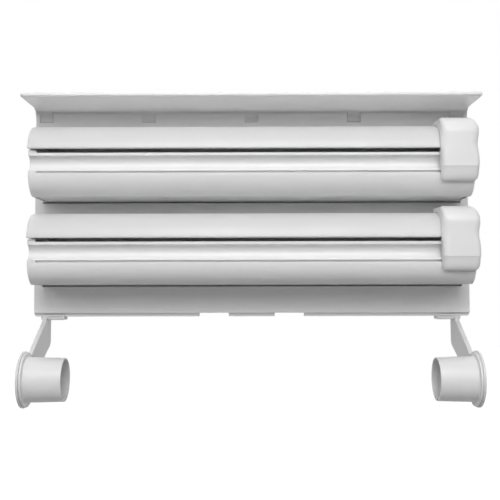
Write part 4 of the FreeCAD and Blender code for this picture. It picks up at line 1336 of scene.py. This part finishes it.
@dataclass
class Shelf:
    """The shelf: a plate with a raised rim, a cove, a hollow back with webs, and snap tabs."""

    name: str = "top_shelf"
    layout: Layout = Layout()
    depth: float = 62.5
    underside: float = 181.2
    thickness: float = 2.5
    rim_thickness: float = 3.0
    rim_height: float = 4.0
    end_rounding: float = 1.0
    rim_rounding: float = 1.1
    rebate: float = 0.9
    rebate_depth: float = 1.3
    cove_radius: float = 10.0
    seam_angle: float = 139.4
    seat: float = 175.0
    web_spacing: float = 80.0
    webs: int = 5
    tabs: int = 5
    tab_inset: float = 9.5
    tab_width: float = 11.5
    tab_top_angle: float = 125.0
    tab_end: float = 178.0
    tab_root: tuple[float, float] = (-0.9, 1.0)
    tab_neck: tuple[float, float] = (1.6, 3.4)
    tab_drop: float = 1.0
    tab_gap: float = 0.3
    tab_barb: float = 1.4
    tab_proud: float = 0.2
    panel_skin_back: float = 9.5
    seam_lap: float = 1.7
    tray_rounding: float = 2.0
    tray_fillet: float = 0.7
    tray_room: float = 5.0
    web_setback: float = 3.0
    web_start: float = 110.0
    web_end: float = 162.0
    web_gap: float = 0.35
    web_lap: float = 0.2

    @property
    def centre(self) -> tuple[float, float]:
        """The depth and height about which the cove is rounded."""
        return self.layout.panel_depth + self.cove_radius, self.underside - self.cove_radius

    def outside(self) -> Shape:
        """Draw the shelf's section from rim to rear wall, carried along with rounded ends.

        Returns:
            The closed bar.
        """
        rim, outer = self.underside + self.rim_height, self.cove_radius + self.thickness
        inner, step = self.depth - self.rebate_depth, self.underside + self.rebate
        outline = Profile().to(0, self.seat, 0.3).to(0, rim, 0.6)
        outline.to(self.depth, rim, self.rim_rounding).to(self.depth, step, 0.25)
        outline.to(inner, step, 0.15).to(inner, self.underside, 0.4)
        outline.arc(self.centre, self.cove_radius, 90, self.seam_angle)
        outline.arc(self.centre, outer, self.seam_angle, 180 - angle_at(self.cove_radius, outer))
        outline.to(self.thickness, self.underside).to(self.thickness, self.seat, 0.3)
        return outline.bar(-self.layout.panel_half, self.layout.panel_half, self.end_rounding)

    def tray(self) -> Shape:
        """Draw the space inside the rim, open at the back, with a fillet along its foot.

        Returns:
            The closed bar.
        """
        side, front = self.layout.panel_half - self.thickness, self.depth - self.rim_thickness
        floor, room = self.underside + self.thickness, self.tray_room
        outline = Profile().to(-side, -room).to(side, -room)
        outline.to(side, front, self.tray_rounding).to(-side, front, self.tray_rounding)
        angles = np.linspace(0, math.pi / 2, 5)
        along = np.append(floor + self.tray_fillet * (1 - np.cos(angles)), floor + room)
        inset = np.append(self.tray_fillet * (1 - np.sin(angles)), 0)
        return outline.carried(along, inset, Axis.HEIGHT)

    def web(self) -> Profile:
        """Draw a web behind the cove.

        Returns:
            The outline, in depth and height.
        """
        half = self.thickness / 2
        top = self.underside + half
        outline = Profile().to(half, self.seat).to(half, top)
        outline.to(self.centre[0] - self.web_setback, top)
        outline.arc(self.centre, self.cove_radius + half, self.web_start, self.seam_angle - 2)
        outer = self.cove_radius + self.thickness + self.web_gap
        return outline.arc(self.centre, outer, self.seam_angle, self.web_end)

    def tab(self, x: float) -> Shape:
        """Return one snap tab, from the cove down to its barb behind the panel's skin.

        Args:
            x: The middle of the tab.

        Returns:
            The closed bar.
        """
        centre, radius, half = self.centre, self.cove_radius, self.tab_width / 2
        back = on_circle(centre, radius, self.tab_top_angle) + self.tab_root
        neck = on_circle(centre, radius + self.thickness, self.seam_angle + self.seam_lap)
        low, behind = centre[1] - self.tab_drop, self.panel_skin_back - self.tab_gap
        outline = Profile().arc(centre, radius - self.tab_proud, self.tab_top_angle, self.tab_end)
        outline.to(self.layout.panel_depth + self.tab_proud / 2, low, 0.4).to(behind, low, 0.2)
        outline.to(behind, low - self.tab_barb, 0.3).to(behind - self.tab_barb, low, 0.3)
        outline.to(behind, centre[1] + self.tab_gap).to(*(neck - self.tab_neck)).to(*neck).to(*back)
        return outline.bar(x - half, x + half, 0.25)

    def build(self) -> bpy.types.Object:
        """Make the shelf in the place of its CAD node.

        Returns:
            The new object.
        """
        half, web = self.layout.panel_half, self.thickness / 2
        places = (np.arange(self.webs) - (self.webs - 1) / 2) * self.web_spacing
        places = [*places, web + self.web_lap - half, half - web - self.web_lap]
        webs = [self.web().bar(x - web, x + web) for x in places]
        spots = np.linspace(self.tab_inset - half, half - self.tab_inset, self.tabs)
        piece = Piece(self.name, self.outside()).cut(self.tray()).join(*webs)
        return piece.join(*(self.tab(x) for x in spots)).finish()


@dataclass
class ArmPart:
    """A part of a roll arm, drawn for the left one and mirrored for the right one."""

    name: str
    outer_face: float
    mirror: bool = False
    axle: tuple[float, float] = (73.0, -51.7)


@dataclass
class RollArm(ArmPart):
    """A roll arm: a sloping plate with a disc, a sliding shoe and head, and a split snap axle."""

    thickness: float = 4.0
    edge_rounding: float = 0.7
    front_depth: float = 17.0
    top: float = -3.3
    front_corner: float = -6.6
    slope: float = 0.59
    lower_slope: float = 0.46
    plate_rear: float = 1.0
    rear_depth: float = 0.5
    rear_top: float = -7.0
    rear_bottom: float = -27.9
    rear_rounding: float = 7.0
    plate_lap: float = 0.4
    disc_radius: float = 22.7
    disc_thickness: float = 1.9
    disc_proud: float = 0.15
    disc_edge: float = 0.45
    relief_radius: float = 22.2
    shoe_length: float = 21.0
    shoe_overhang: float = 2.0
    shoe_rounding: float = 1.1
    shoe_corners: tuple[tuple[float, float, float], ...] = (
        (1.0, -6.0, 0.5), (13.2, -6.0, 0.7), (13.2, -1.4, 0.6), (11.2, -1.4, 0.6),
        (11.2, -3.3, 0.3), (7.5, -3.3, 0.3), (7.5, 0.3, 0.2), (9.2, 0.3, 0.4), (9.2, 2.8, 0.4),
        (1.5, 2.8, 0.4), (1.5, 0.3, 0.4), (4.9, 0.3, 0.2), (4.9, -3.3, 0.3), (1.0, -3.3, 0.5))
    pocket_low: float = -4.8
    pocket_high: float = -2.7
    pocket_floor: float = 12.6
    pocket_mouth: float = 15.0
    pocket_rim: tuple[float, float] = (1.2, 1.6)
    axle_radius: float = 4.0
    snap_radius: float = 4.9
    snap_length: float = 2.4
    snap_edge: float = 0.3
    snap_step: float = 0.01
    snap_inset: float = 0.1
    split: float = 1.4
    split_half: float = 6.0
    hub_length: float = 8.2

    @property
    def face(self) -> float:
        """The X place of the left arm's outer face."""
        return -self.outer_face

    def plate(self) -> Shape:
        """Draw the sloping plate between the shoe and the axle.

        Returns:
            The closed bar.
        """
        depth, top = self.axle[0], self.top - self.plate_lap
        run = depth - self.front_depth
        outline = Profile().to(self.plate_rear, top).to(self.front_depth, top, 1.2)
        outline.to(self.front_depth, self.front_corner, 1.5)
        outline.to(depth, self.front_corner - self.slope * run)
        outline.to(depth, self.rear_bottom - self.lower_slope * (depth - self.rear_depth))
        outline.to(self.rear_depth, self.rear_bottom, self.rear_rounding)
        outline.to(self.rear_depth, self.rear_top, 1.0)
        return outline.bar(self.face, self.face + self.thickness, self.edge_rounding)

    def shoe(self) -> Shape:
        """Draw the shoe under the rail, with its front lip, stem and sliding head.

        Returns:
            The closed bar.
        """
        first, outline = self.face - self.shoe_overhang, Profile()
        for corner in self.shoe_corners:
            outline.to(*corner)
        return outline.bar(first, first + self.shoe_length, self.shoe_rounding)

    def pocket(self) -> Shape:
        """Draw the shallow pocket in the shoe's front face.

        Returns:
            The closed bar.
        """
        first = self.face + self.thickness + self.pocket_rim[0]
        last = self.face - self.shoe_overhang + self.shoe_length - self.pocket_rim[1]
        outline = box((first, self.pocket_low), (last, self.pocket_high), 0.6)
        return outline.bar(self.pocket_floor, self.pocket_mouth, 0.25, Axis.DEPTH)

    def axle_pin(self) -> Shape:
        """Draw the axle with its cone-nosed snap head.

        Returns:
            The closed shape.
        """
        start = self.face + self.disc_thickness / 2
        end = self.face + self.disc_thickness + self.hub_length
        last, edge = end + self.snap_length, self.snap_edge
        neck = self.snap_radius - self.axle_radius
        tip = neck + self.split / 2
        return disc(*self.axle, self.snap_radius).carried(
            (start, end - self.snap_step, end, last - edge, last),
            (neck, neck, self.snap_inset, tip, tip + edge))

    def build(self) -> bpy.types.Object:
        """Make the arm in the place of its CAD node.

        Returns:
            The new object.
        """
        depth, height = self.axle
        inner, half, reach = self.face + self.disc_thickness, self.split / 2, self.split_half
        rim = disc(depth, height, self.disc_radius)
        rim = rim.bar(self.face - self.disc_proud, inner, self.disc_edge)
        relief = disc(depth, height, self.relief_radius)
        relief = relief.bar(inner - MERGE, self.face + self.thickness + PAST)
        slit = box((depth - half, height - reach), (depth + half, height + reach))
        slit = slit.bar(inner + self.split, inner + self.hub_length + self.snap_length + PAST)
        piece = Piece(self.name, self.plate(), mirror=self.mirror).cut(relief)
        piece.join(rim).join(self.shoe()).cut(self.pocket())
        return piece.join(self.axle_pin()).cut(slit).finish()


@dataclass
class Spigot(ArmPart):
    """A spigot: a flange, a tapered tube with a rolled lip, and a ribbed hub on the axle."""

    back_gap: float = 2.0
    bore: float = 4.06
    flange_radius: float = 21.9
    flange: float = 1.7
    root_radius: float = 18.26
    mouth_radius: float = 17.5
    wall: float = 1.2
    reach: float = 34.0
    hub_radius: float = 7.0
    hub_length: float = 8.0
    ribs: int = 4
    rib: float = 1.2
    rib_lap: float = 0.6
    rib_edge: float = 0.2

    def cup(self) -> Shape:
        """Draw the whole turned body: flange, tube and hub.

        Returns:
            The closed ring.
        """
        back = self.back_gap - self.outer_face
        front, mouth, hub = back + self.flange, self.reach - self.outer_face, back + self.hub_length
        outline = Profile().to(back, self.bore).to(back, self.flange_radius, 0.4)
        outline.to(front, self.flange_radius, 0.45).to(front, self.root_radius, 0.9)
        outline.to(mouth, self.mouth_radius, 0.45).to(mouth, self.mouth_radius - self.wall, 0.45)
        outline.to(front, self.root_radius - self.wall, 1.0).to(front, self.hub_radius, 0.6)
        outline.to(hub, self.hub_radius, 0.5).to(hub, self.bore, 0.4)
        return outline.turned(*self.axle)

    def hub_ribs(self) -> list[Shape]:
        """Draw the ribs between the hub and the tube.

        Returns:
            One closed bar for each rib.
        """
        (depth, height), half = self.axle, self.rib / 2
        back = self.back_gap - self.outer_face
        rib = box((depth + self.hub_radius - self.rib_lap, height - half),
                  (depth + self.mouth_radius - self.wall + 2 * self.rib_edge, height + half))
        rib = rib.bar(back + self.flange / 2, back + self.hub_length - 2 * self.rib, self.rib_edge)
        turns = (np.arange(self.ribs) + 0.5) * 360 / self.ribs
        return [rib.rolled(turn, depth, height) for turn in turns]

    def build(self) -> bpy.types.Object:
        """Make the spigot in the place of its CAD node."""
        piece = Piece(self.name, self.cup(), mirror=self.mirror)
        return piece.join(*self.hub_ribs()).finish()


@dataclass
class Dispenser:
    """The finished pieces of the whole dispenser."""

    layout: Layout = Layout()
    left_arm_face: float = 184.0
    right_arm_face: float = 182.0

    def build(self) -> None:
        """Make every piece."""
        WallPanel().build()
        for name, rise in (("lower", 0.0), ("upper", self.layout.pitch)):
            TopCover(f"{name}_top_cover", rise).build()
            FrontFlap(f"{name}_front_flap", rise).build()
            SlideCutter(f"{name}_slider_shell", rise).build()
        Shelf().build()
        for name, face in (("left", self.left_arm_face), ("right", self.right_arm_face)):
            RollArm(f"{name}_roll_arm", face, name == "right").build()
            Spigot(f"{name}_spigot", face, name == "right").build()


def seen_rays(tree: bpy.types.NodeTree) -> bpy.types.NodeSocket:
    """Tell rays of the camera, and what they show by gloss or through a clear piece, from others.

    Args:
        tree: The node tree.

    Returns:
        The grey output, 1 for such rays and 0 for all others.
    """
    rays = add_node(tree, "ShaderNodeLightPath").outputs
    seen = rays["Is Camera Ray"]
    for other in ("Is Glossy Ray", "Is Transmission Ray"):
        either = add_node(tree, "ShaderNodeMath", {0: seen, 1: rays[other]}, operation="MAXIMUM")
        seen = either.outputs[0]
    return seen


@dataclass
class Studio:
    """The camera at the photograph's angle, a pale floor and soft white light."""

    camera_place: tuple[float, float, float] = (-0.1, -717.9, 19.3)
    yaw: float = 0.11
    pitch: float = 2.94
    roll: float = -0.12
    focal_pixels: float = 796.9
    image_pixels: int = 500
    sensor: float = 36.0
    floor_drop: float = 250.0
    floor_half: float = 4000.0
    floor_colour: str = "A0A0A0"
    # How far from the middle the floor's glow is painted dimmer, and how dim it gets there: painted
    # shade under the object.
    shade_reach: tuple[float, float] = (0.3, 1.0)
    shaded_glow: float = 0.66
    room_light: float = 0.07
    lamps: tuple[tuple[str, tuple[float, float, float], float, float], ...] = (
        ("softbox_high", (0.0, -1.5, 1.2), 1.0, 12.5),
        ("softbox_front", (0.0, -1.8, 0.85), 1.0, 9.0),
        ("softbox_left", (-1.3, -1.4, 0.9), 1.0, 6.8),
        ("softbox_right", (1.3, -1.4, 0.9), 1.0, 6.0),
        ("softbox_above", (0.0, 0.1, 1.8), 1.2, 5.0),
        ("softbox_behind", (0.0, 0.9, 1.45), 1.2, 9.0))

    def camera(self) -> None:
        """Place the camera: yaw to the left, pitch up and roll, in degrees."""
        yaw, pitch, roll = (math.radians(angle) for angle in (self.yaw, self.pitch, self.roll))
        level = Vector((math.cos(yaw), math.sin(yaw), 0.0))
        ahead = Vector((-math.sin(yaw), math.cos(yaw), math.tan(pitch))) * math.cos(pitch)
        upright = level.cross(ahead)
        right = level * math.cos(roll) + upright * math.sin(roll)
        up = upright * math.cos(roll) - level * math.sin(roll)
        data = bpy.data.cameras.new("photo_camera")
        data.sensor_width = self.sensor
        data.lens = self.focal_pixels * self.sensor / self.image_pixels
        data.clip_start = 0.01
        camera = bpy.data.objects.new("photo_camera", data)
        turn = Matrix((right, up, -ahead)).transposed().to_4x4()
        camera.matrix_world = Matrix.Translation(Vector(self.camera_place) / 1000) @ turn
        bpy.context.scene.collection.objects.link(camera)
        bpy.context.scene.camera = camera

    def floor(self) -> None:
        """Lay a pale floor below the object, white where it is seen far off, with its glow painted
        dimmer near the object: painted shade under it, on top of the object's real shadow.
        """
        height = cad_box[0].z - self.floor_drop / 1000
        half = self.floor_half / 1000
        mesh = bpy.data.meshes.new("floor")
        sides = ((-half, -half), (half, -half), (half, half), (-half, half))
        mesh.from_pydata([(*side, height) for side in sides], [], [(0, 1, 2, 3)])
        floor = bpy.data.objects.new("floor", mesh)
        bpy.context.scene.collection.objects.link(floor)
        material = bpy.data.materials.new("pale_floor")
        tree = empty_tree(material)
        colour = linear(self.floor_colour)
        paint = add_node(tree, "ShaderNodeBsdfDiffuse", {"Color": colour}).outputs[0]
        away = add_node(tree, "ShaderNodeVectorMath", {
            0: add_node(tree, "ShaderNodeTexCoord").outputs["Object"]}, operation="LENGTH")
        # The glow that seen rays get is painted dimmer near the middle, down to the shaded glow:
        # painted shade under the object, added to its real shadow from the lamps.
        near, far = self.shade_reach
        strength = add_node(tree, "ShaderNodeMapRange", {
            "Value": away.outputs["Value"], "From Min": near, "From Max": far,
            "To Min": self.shaded_glow, "To Max": 1.0}, interpolation_type="SMOOTHSTEP")
        bright = add_node(tree, "ShaderNodeEmission", {
            "Color": WHITE, "Strength": strength.outputs["Result"]})
        pale = add_node(tree, "ShaderNodeAddShader", {0: paint, 1: bright.outputs[0]})
        blend = add_node(tree, "ShaderNodeMixShader", {
            0: seen_rays(tree), 1: paint, 2: pale.outputs[0]})
        add_node(tree, "ShaderNodeOutputMaterial", {"Surface": blend.outputs[0]})
        mesh.materials.append(material)

    def world(self) -> None:
        """Light the room faintly from all round, and make it white where it is seen."""
        world = bpy.data.worlds.new("soft_room")
        tree = empty_tree(world)
        light = add_node(tree, "ShaderNodeBackground", {
            "Color": WHITE, "Strength": self.room_light})
        white = add_node(tree, "ShaderNodeBackground", {"Color": WHITE, "Strength": 1.0})
        both = add_node(tree, "ShaderNodeMixShader", {
            0: seen_rays(tree), 1: light.outputs[0], 2: white.outputs[0]})
        add_node(tree, "ShaderNodeOutputWorld", {"Surface": both.outputs[0]})
        bpy.context.scene.world = world

    def lamp(self, name: str, place: tuple[float, float, float], width: float,
             watts: float) -> None:
        """Hang a square soft light that faces the middle of the object.

        Args:
            name: The lamp's name.
            place: Its x, y and z in metres.
            width: Its side in metres.
            watts: Its power.
        """
        data = bpy.data.lights.new(name, "AREA")
        data.size = width
        data.energy = watts
        lamp = bpy.data.objects.new(name, data)
        middle = (cad_box[0] + cad_box[1]) / 2
        lamp.location = place
        lamp.rotation_euler = (middle - Vector(place)).to_track_quat("-Z", "Y").to_euler()
        bpy.context.scene.collection.objects.link(lamp)

    def build(self) -> None:
        """Set up the camera, the floor, the room and its lamps."""
        self.camera()
        self.floor()
        self.world()
        for lamp in self.lamps:
            self.lamp(*lamp)
        bpy.context.scene.view_settings.view_transform = "Standard"


def dress_frame() -> None:
    """Give every CAD node the finish of its slot."""
    for part in frame["record"]["subparts"]:
        node = frame["nodes"][part["node"]]
        node.data.materials.clear()
        node.data.materials.append(material_of(part["material_slot"]))
        log.info("dressed %s", part["node"])


def main() -> None:
    """Build the scene."""
    logging.basicConfig(level=logging.INFO, format="%(message)s")
    Studio().build()
    dress_frame()
    Dispenser().build()


if __name__ == "__main__":
    main()
